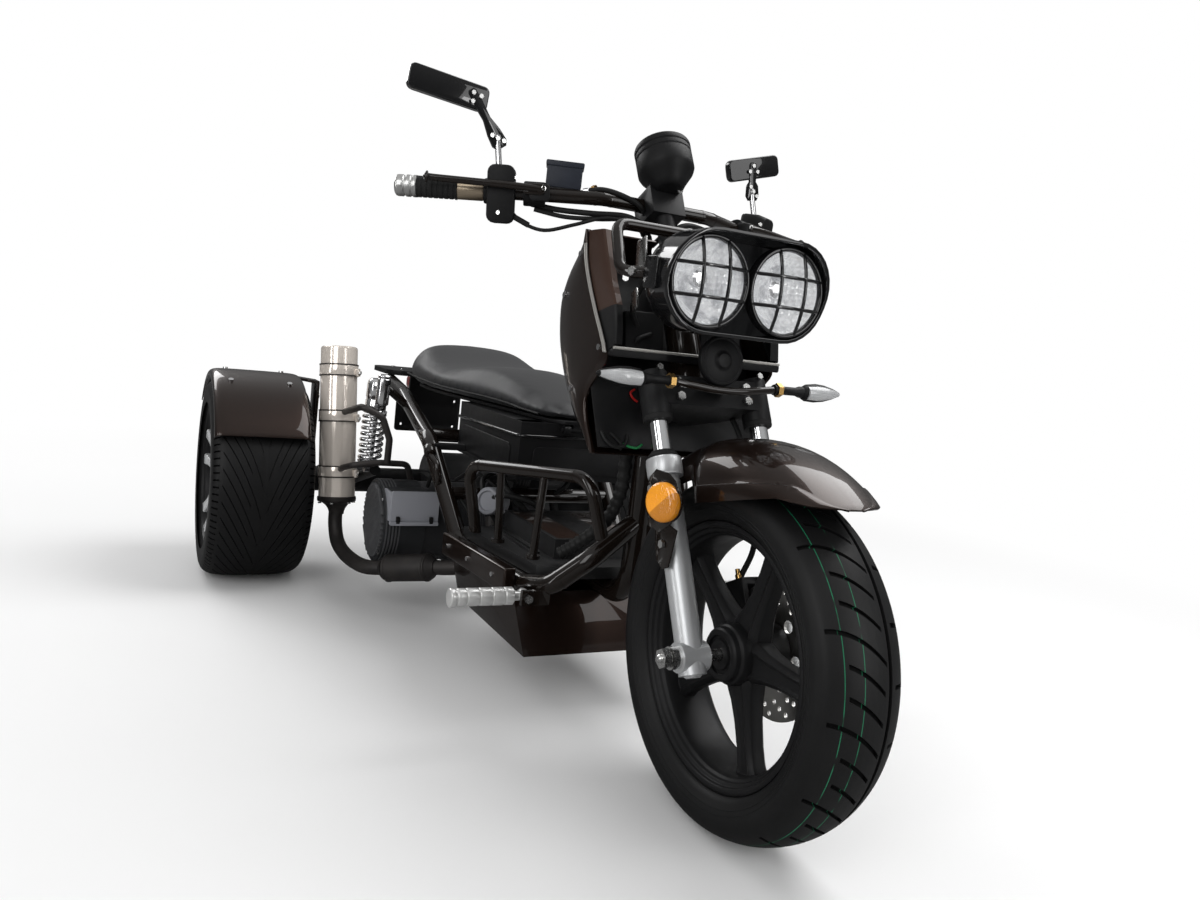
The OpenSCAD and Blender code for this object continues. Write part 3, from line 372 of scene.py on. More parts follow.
def deck_plastic(f):
    """Black deck with brown gloss panels on the raised cover."""
    x, y, z = f.axes()
    panel = (abs(x) > 0.03) * (abs(x) < 0.084) * (z > 0.2915) * (y < -0.004) * (y > -0.216)
    dark = shade(colour("plastic"), 0.9)
    return f.surface(Base_Color=f.blend(panel, f.blend(f.noise(20), dark, shade(dark, 1.5)),
                                        shade(colour("body"), 1.5)),
                     Roughness=0.46 - panel * 0.22 + f.noise(45, 3) * 0.1, Coat_Weight=panel * 0.9,
                     Normal=f.bump(f.noise(800, 3), 0.1, 0.0006))


def clear_dome(f):
    """Thin clear cover that lets nearly all light through."""
    return f.surface(Base_Color=f.blend(f.noise(5), (0.95, 0.96, 0.97, 1), (0.86, 0.88, 0.9, 1)),
                     Roughness=f.noise(24) * 0.05 + 0.03,
                     Alpha=f.noise(7, 2) * 0.06 + 0.09, Normal=f.bump(f.noise(60, 2), 0.03, 0.001))


MAKERS = {
    "body_gloss": lambda f: gloss_paint(f, colour("body"), 0.32, 0.7, 1.0, ior=1.38),
    # Painted highlight: the body paint made 2.6 times lighter, for the upper front bands of the leg shield where the
    # light falls.
    "body_painted_highlight": lambda f: gloss_paint(f, shade(colour("body"), 2.6), 0.5, 0.3, 0.15, 0.02, 0.08),
    # Painted highlight: grey lines laid along the leg shield's edges where they catch light.
    "edge_highlight_grey": lambda f: satin(f, (0.34, 0.33, 0.31, 1), 0.34, 0.3, 900, 0.05, 1.2),
    "tube_gloss": lambda f: gloss_paint(f, colour("tube"), 0.24, 0.0, 0.8, 0.025),
    "visor_gloss": lambda f: gloss_paint(f, (0.006, 0.006, 0.0065, 1), 0.16, 0.0, 1.0, 0.015, 0.05),
    "cast_black": lambda f: satin(f, colour("cast"), 0.46, 0.1),
    "rim_black": lambda f: satin(f, shade(colour("cast"), 1.15), 0.42, 0.2, 700, 0.07, 1.3),
    "moulded_black": lambda f: satin(f, colour("plastic"), 0.48, 0.0, 1200, 0.1),
    "engine_cast": lambda f: satin(f, (0.030, 0.030, 0.032, 1), 0.5, 0.45, 500, 0.25, 2.2),
    "engine_grey": lambda f: satin(f, (0.25, 0.255, 0.28, 1), 0.42, 0.1, 600, 0.06, 1.15),
    "fan_grille": lambda f: satin(f, (0.085, 0.086, 0.09, 1), 0.36, 0.3, 700, 0.06, 1.3),
    "fan_cover": lambda f: satin(f, (0.026, 0.027, 0.029, 1), 0.40, 0.2, 600, 0.12, 1.6),
    "grip_rubber": lambda f: satin(f, (0.011, 0.011, 0.011, 1), 0.6, 0.0, 1500, 0.15, 1.3),
    "hose_rubber": lambda f: satin(f, (0.012, 0.012, 0.012, 1), 0.5, 0.0, 1100, 0.12, 1.4),
    "front_rubber": lambda f: tyre_rubber(f, True),
    "rear_rubber": lambda f: tyre_rubber(f, False),
    "seat_vinyl": seat_vinyl,
    "fork_silver": fork_silver,
    "polished_steel": lambda f: metal(f, colour("steel"), 0.12, (60, 60, 2), 0.03, 0.04, 0.46),
    "satin_silver": lambda f: metal(f, (0.74, 0.74, 0.73, 1), 0.3, (1, 1, 1), 0.04, 0.05, 0.6),
    "bright_zinc": lambda f: metal(f, (0.70, 0.70, 0.69, 1), 0.24),
    "chrome": lambda f: metal(f, (0.80, 0.80, 0.81, 1), 0.10, (1, 1, 1), 0.02, 0.04),
    "brushed_alloy": lambda f: metal(f, (0.66, 0.66, 0.65, 1), 0.30, (30, 1, 1), 0.1),
    "machined_alloy": lambda f: metal(f, (0.80, 0.81, 0.82, 1), 0.22, (1, 1, 1), 0.06, 0.06, 0.5),
    "disc_steel": lambda f: metal(f, (0.52, 0.51, 0.49, 1), 0.3, (1, 20, 20), 0.12),
    "chain_steel": lambda f: metal(f, (0.30, 0.28, 0.25, 1), 0.38, (1, 1, 1), 0.1, 0.2),
    "brass": lambda f: metal(f, (0.62, 0.38, 0.13, 1), 0.26),
    "bronze_sleeve": lambda f: metal(f, (0.56, 0.46, 0.34, 1), 0.3, (40, 4, 4), 0.08),
    "dark_blue": lambda f: satin(f, (0.020, 0.023, 0.032, 1), 0.36, 0.0, 900, 0.06, 1.4),
    "exhaust_matte": exhaust_steel,
    "lamp_bowl": reflector_bowl,
    "lamp_lens": clear_dome,
    "signal_lens": lambda f: coloured_lens(f, (0.62, 0.63, 0.64, 1)),
    "amber_lens": lambda f: coloured_lens(f, colour("amber"), True),
    "red_lens": lambda f: coloured_lens(f, (0.42, 0.012, 0.010, 1)),
    "mirror_glass": lambda f: metal(f, (0.82, 0.84, 0.86, 1), 0.07, (1, 1, 1), 0.0, 0.02),
    "deck_black": deck_plastic,
    "red_wire": lambda f: satin(f, (0.32, 0.012, 0.010, 1), 0.4, 0.0, 900, 0.05, 1.2),
    "green_wire": lambda f: satin(f, (0.012, 0.17, 0.05, 1), 0.4, 0.0, 900, 0.05, 1.2),
}


def alone(*obs):
    """Leaves edit mode with only these objects selected."""
    if bpy.context.mode != "OBJECT":
        bpy.ops.object.mode_set(mode="OBJECT")
    bpy.ops.object.select_all(action="DESELECT")
    for ob in obs:
        ob.select_set(True)
    if obs:
        bpy.context.view_layer.objects.active = obs[0]


def begin():
    """A new empty mesh at the origin, left in edit mode."""
    alone()
    bpy.ops.mesh.primitive_plane_add(size=0.01)
    bpy.ops.object.mode_set(mode="EDIT")
    bpy.ops.mesh.delete(type="VERT")
    return bpy.context.object


def edit(ob):
    """Enters edit mode on one object."""
    alone(ob)
    bpy.ops.object.mode_set(mode="EDIT")


def form():
    """The mesh in edit mode."""
    return bmesh.from_edit_mesh(bpy.context.edit_object.data)


def pick(kind, test):
    """Selects the vertices, edges or faces in edit mode that pass a test of their place or normal."""
    bpy.ops.mesh.select_mode(type=kind)
    bpy.ops.mesh.select_all(action="DESELECT")
    bm = form()
    for item in {"VERT": bm.verts, "EDGE": bm.edges, "FACE": bm.faces}[kind]:
        if test(item):
            item.select_set(True)
    bm.select_flush_mode()
    bmesh.update_edit_mesh(bpy.context.edit_object.data)


def mould(move, chosen=False):
    """Moves every vertex, or every selected one, to where move says."""
    for v in form().verts:
        if v.select or not chosen:
            v.co = move(v.co)
    bmesh.update_edit_mesh(bpy.context.edit_object.data)


def trace(points, close=False):
    """Draws a line of edges through points, or a closed ring."""
    points = [Vector(p) for p in points]
    bpy.ops.mesh.select_mode(type="VERT")
    bpy.ops.mesh.select_all(action="DESELECT")
    bpy.ops.mesh.primitive_plane_add(size=0.01, location=points[0])
    bpy.ops.mesh.merge(type="CENTER")
    for a, b in zip(points, points[1:]):
        bpy.ops.mesh.extrude_vertices_move(TRANSFORM_OT_translate={"value": b - a})
    if close:
        pick("VERT", lambda v: (v.co - points[0]).length < 1e-6 or (v.co - points[-1]).length < 1e-6)
        bpy.ops.mesh.edge_face_add()


def whole():
    """Selects everything in edit mode."""
    bpy.ops.mesh.select_all(action="SELECT")


def spin(steps, hub, axis=CROSS, angle=math.tau, copies=False):
    """Turns everything in edit mode round an axis, as one skin or as copies."""
    whole()
    bpy.ops.mesh.spin(steps=steps, dupli=copies, angle=angle, center=hub, axis=axis)


def weld(gap=1e-6):
    """Merges points closer than a gap and turns the faces outward."""
    whole()
    bpy.ops.mesh.remove_doubles(threshold=gap)
    bpy.ops.mesh.normals_make_consistent(inside=False)


def turned(profile, base, axis, steps=48, closed=False):
    """A piece turned on a lathe from rows of radius and height along an axis, in millimetres."""
    axis = Vector(axis).normalized()
    side = axis.orthogonal().normalized()
    ob = begin()
    trace([base + axis * h / 1000 + side * r / 1000 for r, h in profile], closed)
    spin(steps, base, axis)
    weld()
    return ob


def loft(rings, closed=True):
    """A skin drawn by extruding one ring of points to the next, closed with caps or left as an open sheet."""
    rings = [[Vector(p) for p in ring] for ring in rings]
    ob = begin()
    trace(rings[0], closed)
    whole()
    for last, ring in zip(rings, rings[1:]):
        at = {tuple(round(c, 6) for c in p): i for i, p in enumerate(last)}
        bpy.ops.mesh.extrude_region_move()
        bm = form()
        for v in [v for v in bm.verts if v.select]:
            key = tuple(round(c, 6) for c in v.co)
            i = at.get(key)
            if i is None:
                i = min(range(len(last)), key=lambda k: (last[k] - v.co).length)
            v.co = ring[i]
        bmesh.update_edit_mesh(bpy.context.edit_object.data)
    if closed:
        for ring in (rings[0], rings[-1]):
            pick("VERT", lambda v: any((v.co - p).length < 1e-6 for p in ring))
            bpy.ops.mesh.edge_face_add()
    weld()
    return ob


def plate(outline, push):
    """A flat outline of points, filled and pushed out to a thickness."""
    ob = begin()
    trace(outline)
    whole()
    bpy.ops.mesh.edge_face_add()
    bpy.ops.mesh.extrude_region_move(TRANSFORM_OT_translate={"value": Vector(push)})
    weld()
    return ob


def tube(points, radius, fine=3, scale=None):
    """A round tube along points, of a radius in millimetres that scale varies from point to point."""
    points = [Vector(p) for p in points]
    begin()
    trace(points)
    bpy.ops.object.mode_set(mode="OBJECT")
    bpy.ops.object.convert(target="CURVE")
    line = bpy.context.object.data
    line.bevel_depth, line.bevel_resolution, line.use_fill_caps = radius / 1000, fine, True
    rows = line.splines[0].points
    if scale:
        back = (Vector(rows[0].co[:3]) - points[0]).length > (Vector(rows[0].co[:3]) - points[-1]).length
        for row, share in zip(rows, reversed(scale) if back else scale):
            row.radius = share
    bpy.ops.object.convert(target="MESH")
    bpy.ops.object.mode_set(mode="EDIT")
    weld()
    return bpy.context.object


def smooth(points, steps=8):
    """More points along a smooth curve through the given ones."""
    p = [Vector(q) for q in points]
    p = [2 * p[0] - p[1]] + p + [2 * p[-1] - p[-2]]
    out = []
    for a, b, c, d in zip(p, p[1:], p[2:], p[3:]):
        for k in range(steps):
            t = k / steps
            out.append(0.5 * (2 * b + (c - a) * t + (2 * a - 5 * b + 4 * c - d) * t * t
                              + (3 * b - a - 3 * c + d) * t ** 3))
    return out + [p[-2]]


def modify(ob, kind, **settings):
    """Adds a modifier and applies it."""
    alone(ob)
    made = ob.modifiers.new(kind.title(), kind)
    for key, value in settings.items():
        setattr(made, key, value)
    bpy.ops.object.modifier_apply(modifier=made.name)
    return ob


def rounded(ob, width, segments=2, angle=30):
    """Rounds the edges of a piece that are sharper than an angle, by a width in millimetres."""
    return modify(ob, "BEVEL", width=width / 1000, segments=segments, limit_method="ANGLE",
                  angle_limit=math.radians(angle), use_clamp_overlap=True)


def joined(obs):
    """Several objects as one."""
    obs = list(obs)
    alone(*obs)
    if len(obs) > 1:
        bpy.ops.object.join()
    return bpy.context.object


def keep(ob, name, finish_name, body, stands_for=(), angle=34):
    """Names a finished piece, gives it its finish and makes it ride on a body."""
    alone(ob)
    bpy.ops.object.transform_apply(location=True, rotation=True, scale=True)
    ob.name = ob.data.name = name
    bpy.ops.object.shade_smooth_by_angle(angle=math.radians(angle))
    ob.data.materials.clear()
    ob.data.materials.append(finish(finish_name))
    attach(ob, body)
    if stands_for:
        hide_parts(*stands_for)
    return ob


def dress(finish_name, *nodes):
    """Gives CAD nodes that keep their shape a finish."""
    for node in nodes:
        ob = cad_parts[node]
        ob.data.materials.clear()
        ob.data.materials.append(finish(finish_name))


def softened(node, width, segments=2):
    """A copy of a CAD node, merged, with its sharp edges rounded."""
    alone(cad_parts[node])
    bpy.ops.object.duplicate()
    ob = bpy.context.object
    ob.parent = None
    for key in list(ob.keys()):
        del ob[key]
    edit(ob)
    bpy.ops.mesh.customdata_custom_splitnormals_clear()
    whole()
    bpy.ops.mesh.remove_doubles(threshold=0.0001)
    bpy.ops.mesh.dissolve_limited(angle_limit=math.radians(0.8))
    return rounded(ob, width, segments, 32)


def copied(ob, change):
    """A copy of an object with its mesh changed by a matrix."""
    copy = ob.copy()
    copy.data = ob.data.copy()
    bpy.context.scene.collection.objects.link(copy)
    copy.data.transform(change)
    return copy


def stamp(ob, places):
    """Copies of a piece modelled along +Z at places given as point, direction and size; it is used up itself."""
    obs = []
    for place, way, size in places:
        turn = Vector(way).to_track_quat("Z", "Y").to_matrix().to_4x4()
        obs.append(copied(ob, Matrix.Translation(place) @ turn @ Matrix.Scale(size / 1000, 4)))
    mesh = ob.data
    bpy.data.objects.remove(ob)
    bpy.data.meshes.remove(mesh)
    return joined(obs)


def hex_bolt():
    """A hexagon bolt head on a washer, one unit in head radius."""
    alone()
    bpy.ops.mesh.primitive_cylinder_add(vertices=6, radius=1, depth=0.75, location=(0, 0, 0.575))
    ob = bpy.context.object
    bpy.ops.object.transform_apply()
    edit(ob)
    pick("FACE", lambda f: f.normal.z > 0.9)
    bpy.ops.mesh.bevel(offset=0.12, segments=1, affect="EDGES")
    pick("FACE", lambda f: f.normal.z > 0.9)
    bpy.ops.mesh.inset(thickness=0.2, depth=-0.06)
    bpy.ops.mesh.primitive_cylinder_add(vertices=18, radius=1.42, depth=0.2, location=(0, 0, 0.1))
    bpy.ops.mesh.select_all(action="DESELECT")
    return ob


def cap_bolt():
    """A round bolt head with a hexagon socket, one unit in head radius."""
    alone()
    bpy.ops.mesh.primitive_cylinder_add(vertices=18, radius=1, depth=0.7, location=(0, 0, 0.35))
    ob = bpy.context.object
    bpy.ops.object.transform_apply()
    edit(ob)
    pick("FACE", lambda f: f.normal.z > 0.9)
    bpy.ops.mesh.inset(thickness=0.14, depth=0.1)
    bpy.ops.mesh.inset(thickness=0.32, depth=0)
    bpy.ops.mesh.inset(thickness=0.02, depth=-0.4)
    return ob


def hose(rows, radius, fine=2, steps=6, at=mm):
    """A smooth tube through places in millimetres, from the origin or in the frame that is given."""
    return tube(smooth([at(*row) for row in rows], steps), radius, fine)


def ribbed(rows, radius, fine, waist):
    """A smooth corrugated tube through places in millimetres, with a waist between its ribs."""
    path = smooth([mm(*row) for row in rows], 14)
    return tube(path, radius, fine, [1.0 if k // 2 % 2 else waist for k in range(len(path))])


def mirrored(points):
    """The same points on the other side, in reverse order."""
    return [Vector((-p.x, p.y, p.z)) for p in reversed(points)]


def angles(count, first=0.0):
    """Angles spread evenly round a circle."""
    return [math.tau * (k + first) / count for k in range(count)]


def circle(hub, x, radius, turns):
    """Places round a hub at a distance across and a radius, in millimetres."""
    return [hub + mm(x, radius * math.cos(t), radius * math.sin(t)) for t in turns]


def bore(ob, cutter):
    """Cuts one object out of another and removes it."""
    modify(ob, "BOOLEAN", object=cutter, operation="DIFFERENCE", solver="EXACT")
    bpy.data.objects.remove(cutter)


def recast(body, angle, *rows):
    """Keeps rounded copies of CAD nodes, given as node, edge, segments, name, finish and slot."""
    for node, width, segments, name, finish_name, slot in rows:
        keep(softened(node, width, segments), name, finish_name, body, [node], angle)


def tyre(half, curved, steps, hub, columns):
    """A tyre spun from half its section, in rows of distance across and radius; the first rows are smoothed."""
    rows = [Vector((x, 0, r)) for x, r in half]
    rows = smooth(rows[:curved], steps) + rows[curved:]
    ob = begin()
    trace([hub + p / 1000 for p in mirrored(rows) + rows[1:]], True)
    spin(columns, hub)
    weld(1e-5)
    return ob


def twist(hub, sweep):
    """Turns each ring of a tyre round its axle by its own angle, so that its columns follow the tread."""
    def move(co):
        p = co - hub
        r = math.hypot(p.y, p.z)
        if r < TREAD_FROM:
            return co
        t = math.atan2(p.z, -p.y) + sweep(p.x)
        return hub + Vector((p.x, -r * math.cos(t), r * math.sin(t)))
    mould(move)


def groove(test):
    """Presses the faces that pass a test in by the tread's depth and marks their floor, which the tyre finish darkens
    as painted shade and makes rougher.
    """
    pick("FACE", test)
    bpy.ops.mesh.extrude_region_shrink_fatten(TRANSFORM_OT_shrink_fatten={"value": -sizes().tread_depth})
    bm = form()
    shaded_floor_mark = bm.verts.layers.float.new("groove")
    for v in bm.verts:
        v[shaded_floor_mark] = 1.0 if v.select else 0.0
    bmesh.update_edit_mesh(bpy.context.edit_object.data)
    weld(1e-7)


def bent(points, radius, steps=7):
    """Points along a tube of straight runs joined by round bends, all in metres."""
    p = [Vector(q) for q in points]
    out = [p[0]]
    for a, b, c in zip(p, p[1:], p[2:]):
        u, w = (b - a).normalized(), (c - b).normalized()
        half = u.angle(w) / 2
        reach = min(radius * math.tan(half), (b - a).length * 0.48, (c - b).length * 0.48)
        start, stop = b - u * reach, b + w * reach
        for k in range(steps + 1):
            t = k / steps
            out.append(start * (1 - t) ** 2 + b * 2 * t * (1 - t) + stop * t * t)
    return out + [p[-1]]


def ring_of(outline, y):
    """An outline about the lamps' height, at a distance along the trike."""
    return [Vector((x, y, LAMP_Z + z)) for x, z in outline]


def stadium(wide, tall, count=16):
    """A long rounded outline of half width and half height, in metres."""
    spots = []
    for side in (1, -1):
        for k in range(count + 1):
            t = math.pi * (k / count - 0.5) + (0 if side > 0 else math.pi)
            spots.append((side * (wide - tall) + tall * math.cos(t), tall * math.sin(t)))
    return spots


def slab(centre, along, up, length, height, depth, corner, taper=1.0):
    """A rounded block about a centre, its long side along one direction and its height up another, in millimetres."""
    along = Vector(along).normalized()
    deep = along.cross(Vector(up)).normalized()
    up = deep.cross(along).normalized()
    ring = []
    for sx, sz in ((1, 1), (-1, 1), (-1, -1), (1, -1)):
        for k in range(5):
            t = math.atan2(sz, sx) - math.pi / 4 + k * math.pi / 8
            ring.append((sx * (length / 2 - corner) + corner * math.cos(t),
                         sz * (height / 2 - corner) + corner * math.sin(t)))
    place = lambda share, d: [centre + (along * x * share + up * z * share + deep * d) / 1000 for x, z in ring]
    return rounded(loft([place(taper, -depth / 2), place(1, -depth * 0.1), place(1, depth / 2)]),
                   min(corner, depth) * 0.22, 3, 25)


class Piece(bpy.types.Operator):
    """Common ground of the operators that model a piece."""

    bl_options = {"REGISTER"}

    def execute(self, context):
        self.make()
        alone()
        return {"FINISHED"}


class TRIKE_OT_front_tyre(Piece):
    """Front tyre with long and short curved slots, one groove round its far side and ridged sidewalls"""

    bl_idname = "trike.front_tyre"
    bl_label = "Front tyre"

    def make(self):
        half = [(0, 243), (8, 242.8), (20, 241.3), (33, 238), (46, 232.6), (56, 226), (61.6, 217), (62.8, 208),
                (60.6, 200), (60.9, 199.2),
                (58, 193.5), (58.3, 192.7), (54, 186), (51, 181), (45, 177.2)]
        columns = sizes().front_slots * 6
        ob = tyre(half, 9, 4, FRONT_AXLE, columns)
        sweep = lambda x: -math.radians(10.5) * max(0, min(1.1, (x + 54) / 76)) ** 1.7
        twist(FRONT_AXLE, lambda x: sweep(x * 1000))

        def slot(f):
            c = f.calc_center_median() - FRONT_AXLE
            x = c.x * 1000
            if abs(x) > 59 or math.hypot(c.y, c.z) < 0.214:
                return False
            if 24.5 < x < 29:
                return True
            column = round((math.atan2(c.z, -c.y) - sweep(x)) / math.tau * columns - 0.5) % columns
            n = column // 6
            if x > 29:
                return column % 6 == 3 and n % 2 == 0 and 36 < x < 56
            return column % 6 == 0 and (-33 if n % 3 else -53) < x < (17 if n % 3 else 21)

        groove(slot)
        keep(ob, "front_tyre_tread", "front_rubber", "front_wheel", ["front_tyre"], 38)


class TRIKE_OT_rear_tyres(Piece):
    """Wide rear tyres with swept grooves that meet in a V"""

    bl_idname = "trike.rear_tyres"
    bl_label = "Rear tyres"

    def make(self):
        half = [(0, 229), (12, 229), (28, 228.9), (44, 228.5), (58, 227.8), (72, 226.4), (86, 223.8), (97, 218),
                (104, 210), (107.2, 198), (106.2, 186), (106.4, 185.2),
                (103.6, 178), (103.8, 177.2), (100, 170), (95.5, 165.2)]
        columns = 360
        step = columns // sizes().rear_grooves
        sweep = lambda x: math.radians(55) * min(1, abs(x) / 0.09) ** 0.7
        for side, name in NAMED_SIDES:
            hub = rear_hub(side)
            ob = tyre(half, 11, 2, hub, columns)
            twist(hub, sweep)

            def cut(f):
                c = f.calc_center_median() - hub
                x = abs(c.x)
                if x > 0.1045 or math.hypot(c.y, c.z) < 0.207:
                    return False
                column = round((math.atan2(c.z, -c.y) - sweep(c.x)) / math.tau * columns - 0.5) % columns
                if x > 0.09:
                    return column % 4 == 0
                if c.x < 0:
                    column += step // 2
                return column % step == 0 and 0.007 < x < 0.084 and (column // step % 2 == 0 or x > 0.03)

            groove(cut)
            keep(ob, "rear_tyre_tread_" + name, "rear_rubber", "rear_wheel_" + name, ["rear_tyre_" + name],
                 38)


class TRIKE_OT_front_rim(Piece):
    """Front rim with a stepped barrel, five flared spokes, a ringed hub and a drilled disc"""

    bl_idname = "trike.front_rim"
    bl_label = "Front rim and disc"

    def make(self):
        barrel = [(177.4, -47), (177.4, 47), (174, 48.5), (170, 47), (168, 43), (164, 41.5), (161.5, 38), (158, 36),
                  (156, 26), (155, 0), (156, -26),
                  (158, -33), (161.5, -36), (163, -40), (167, -42), (168.5, -46), (173, -48.5)]
        obs = [rounded(turned(barrel, FRONT_AXLE, CROSS, 120, True), 0.9, 2, 20)]
        hub = [(8.4, -42), (20, -42), (20, -38), (26, -38), (26, -42), (33, -42), (36, -39), (36.5, -32), (40, -30),
               (42, -24), (42, 26), (40, 46), (38, 47.9), (8.4, 47.9)]
        obs.append(rounded(turned(hub, FRONT_AXLE, CROSS, 72, True), 0.8, 2, 25))
        rows = [(34, 29, 21), (46, 25.5, 19.5), (62, 21, 17.5), (90, 17.5, 15.5), (122, 16, 15), (146, 17.5, 15.5),
                (159, 22, 17)]
        spoke = loft([[FRONT_AXLE + mm(x * t, y * w, r) for x, y in
                       ((-1, -0.62), (-1, 0.62), (-0.55, 1), (0.55, 1), (1, 0.62), (1, -0.62), (0.55, -1),
                        (-0.55, -1))] for r, w, t in rows])
        edit(spoke)
        pick("FACE", lambda f: f.normal.x < -0.9)
        bpy.ops.mesh.inset(thickness=0.0045, depth=-0.0035)
        alone(spoke)
        rounded(spoke, 1.2, 2, 25)
        edit(spoke)
        mould(lambda co: FRONT_AXLE + Matrix.Rotation(math.radians(18), 3, "X") @ (co - FRONT_AXLE))
        spin(SPOKES, FRONT_AXLE, copies=True)
        weld(1e-5)
        obs.append(spoke)
        keep(joined(obs), "front_rim_cast", "rim_black", "front_wheel", ["front_rim"])
        disc = turned([(26, 48), (95, 48), (95, 52), (26, 52)], FRONT_AXLE, CROSS, 96, True)
        drills = []
        for radius, count, first, hole in ((86, 15, 0, 3.8), (77, 15, 8, 3.8), (68, 15, 16, 3.8), (48, 6, 0, 9)):
            for place in circle(FRONT_AXLE, 50, radius, [t + math.radians(first) for t in angles(count)]):
                alone()
                bpy.ops.mesh.primitive_cylinder_add(vertices=14, radius=hole / 1000, depth=0.02, location=place,
                                                    rotation=(0, math.pi / 2, 0))
                drills.append(bpy.context.object)
        cutter = joined(drills)
        bpy.ops.object.transform_apply()
        bore(disc, cutter)
        keep(disc, "front_disc_drilled", "disc_steel", "front_wheel", ["front_disc"])
        ring = [(place, CROSS, 4.6) for place in circle(FRONT_AXLE, 52, 34, angles(5))]
        keep(stamp(cap_bolt(), ring), "disc_bolts", "bright_zinc", "front_wheel")


class TRIKE_OT_rear_rims(Piece):
    """Rear rims: black barrels with five double machined spokes, caps and wheel nuts"""

    bl_idname = "trike.rear_rims"
    bl_label = "Rear rims"

    def make(self):
        for side, name in NAMED_SIDES:
            body = "rear_wheel_" + name
            hub = rear_hub(side)
            out = Vector((side, 0, 0))
            barrel = [(165, -96), (165, 96), (162, 98), (158, 97), (156, 92), (152, 88), (149, 74), (148, 40),
                      (148, -60), (150, -88), (157, -96)]
            obs = [rounded(turned(barrel, hub, out, 120, True), 0.9, 2, 20)]
            obs.append(turned([(0, -88), (50, -88), (50, 50), (46, 58), (0, 58)], hub, out, 64))
            obs.append(turned([(0, -118), (15.7, -118), (15.7, -80), (0, -80)], hub, out, 32))
            keep(joined(obs), "rear_barrel_" + name, "rim_black", body, ["rear_rim_" + name])
            spokes = []
            rows = [(40, 11, 50, 80), (60, 10, 58, 82), (90, 9.5, 64, 84), (120, 10, 68, 87), (140, 12, 70, 91),
                    (152, 14, 66, 94)]
            for offset in (-13, 13):
                ob = loft([[hub + mm(side * x, y, r) for x, y in ((b, -w), (b, w), (t - 3, w), (t, w - 3), (t, 3 - w),
                        (t - 3, -w))] for r, w, b, t in rows])
                mould(lambda co: hub + Matrix.Rotation(math.radians(offset), 3, "X") @ (co - hub))
                spokes.append(ob)
            ob = joined(spokes)
            edit(ob)
            spin(SPOKES, hub, copies=True)
            weld(1e-5)
            cap = turned([(0, 91), (20, 90.5), (26, 88), (28, 81), (44, 79), (47, 75), (47, 57), (0, 57)], hub, out,
                         48)
            keep(rounded(joined([ob, cap]), 0.8, 2, 28), "rear_spokes_" + name, "machined_alloy", body, ())
            nuts = [(place, out, 6.5) for place in circle(hub, side * 79, 36, angles(4, 0.5))]
            keep(stamp(hex_bolt(), nuts), "wheel_nuts_" + name, "chrome", body)


class TRIKE_OT_seat(Piece):
    """Saddle with a crested nose and a raised rear lobe, whose foam swells under its vinyl, with a piped edge"""

    bl_idname = "trike.seat"
    bl_label = "Seat"

    HALF_WIDTH, LENGTH, NOSE_Y, BASE_Z = 164, 756, -110, 484
    FRAMES, PRESSURE, VOXEL = 20, 4, 0.0055
    ROWS = [(0.005, 0.34, 6, 10, 14), (0.05, 0.5, 3, 14, 24), (0.12, 0.56, 1, 18, 34), (0.2, 0.62, 0, 26, 51),
            (0.3, 0.7, 0, 30, 66), (0.4, 0.78, 0, 30, 71), (0.5, 0.88, 0, 31, 64),
            (0.57, 0.94, 0, 33, 56), (0.66, 0.985, 0, 38, 58), (0.75, 1, 0, 43, 72), (0.83, 0.97, 2, 46, 90),
            (0.9, 0.92, 4, 45, 97), (0.95, 0.82, 9, 41, 91), (0.98, 0.7, 14, 38, 79), (0.995, 0.55, 24, 37, 62)]

    def make(self):
        rings = []
        for at, wide, low, edge, crown in self.ROWS:
            w, y = wide * self.HALF_WIDTH, self.NOSE_Y + at * self.LENGTH
            half = [(0.0, low + 1), (0.5, low + 1), (0.8, low + 1.5), (0.93, low + 5 + 0.1 * edge),
                    (0.985, edge * 0.6), (0.97, edge + 2), (0.9, edge + 0.34 * (crown - edge)), (0.74, crown - 9),
                    (0.5, crown - 4), (0.25, crown - 1.5), (0, crown - 1)]
            ring = [mm(w * a, y, self.BASE_Z + h) for a, h in half]
            rings.append(ring + mirrored(ring[1:-1]))
        ob = modify(loft(rings), "SUBSURF", levels=2, render_levels=2)
        self.swell(ob)
        keep(ob, "seat_cover", "seat_vinyl", "seat_lid", ["seat"], 60)
        line = [mm(wide * self.HALF_WIDTH * 0.975 + 0.4, self.NOSE_Y + at * self.LENGTH, self.BASE_Z + edge * 0.5)
                for at, wide, _, edge, _ in self.ROWS[1:]]
        keep(tube(smooth(line + mirrored(line), 4), 2.1, 2), "seat_piping", "moulded_black", "seat_lid", ())

    def swell(self, ob):
        """Lets the foam push the cover out, no further than the given swell."""
        scene = bpy.context.scene
        modify(ob, "REMESH", mode="VOXEL", voxel_size=self.VOXEL)
        start = [v.co.copy() for v in ob.data.vertices]
        alone(ob)
        cloth = ob.modifiers.new("Cloth", "CLOTH")
        cloth.settings.use_pressure = True
        cloth.settings.uniform_pressure_force = self.PRESSURE
        cloth.settings.effector_weights.gravity = 0
        for k in range(self.FRAMES):
            scene.frame_set(k + 1)
        bpy.ops.object.modifier_apply(modifier=cloth.name)
        scene.frame_set(1)
        cap = sizes().seat_swell
        edit(ob)
        bm = form()
        bm.verts.ensure_lookup_table()
        for v, was in zip(bm.verts, start):
            step = v.co - was
            if step.z < 0 and was.z < 0.489:
                step.z = 0
            v.co = was + step * min(1, cap / max(step.length, 1e-9))
        bmesh.update_edit_mesh(ob.data)
        whole()
        bpy.ops.mesh.vertices_smooth(factor=0.5, repeat=4)
        modify(ob, "SUBSURF", levels=1, render_levels=1)


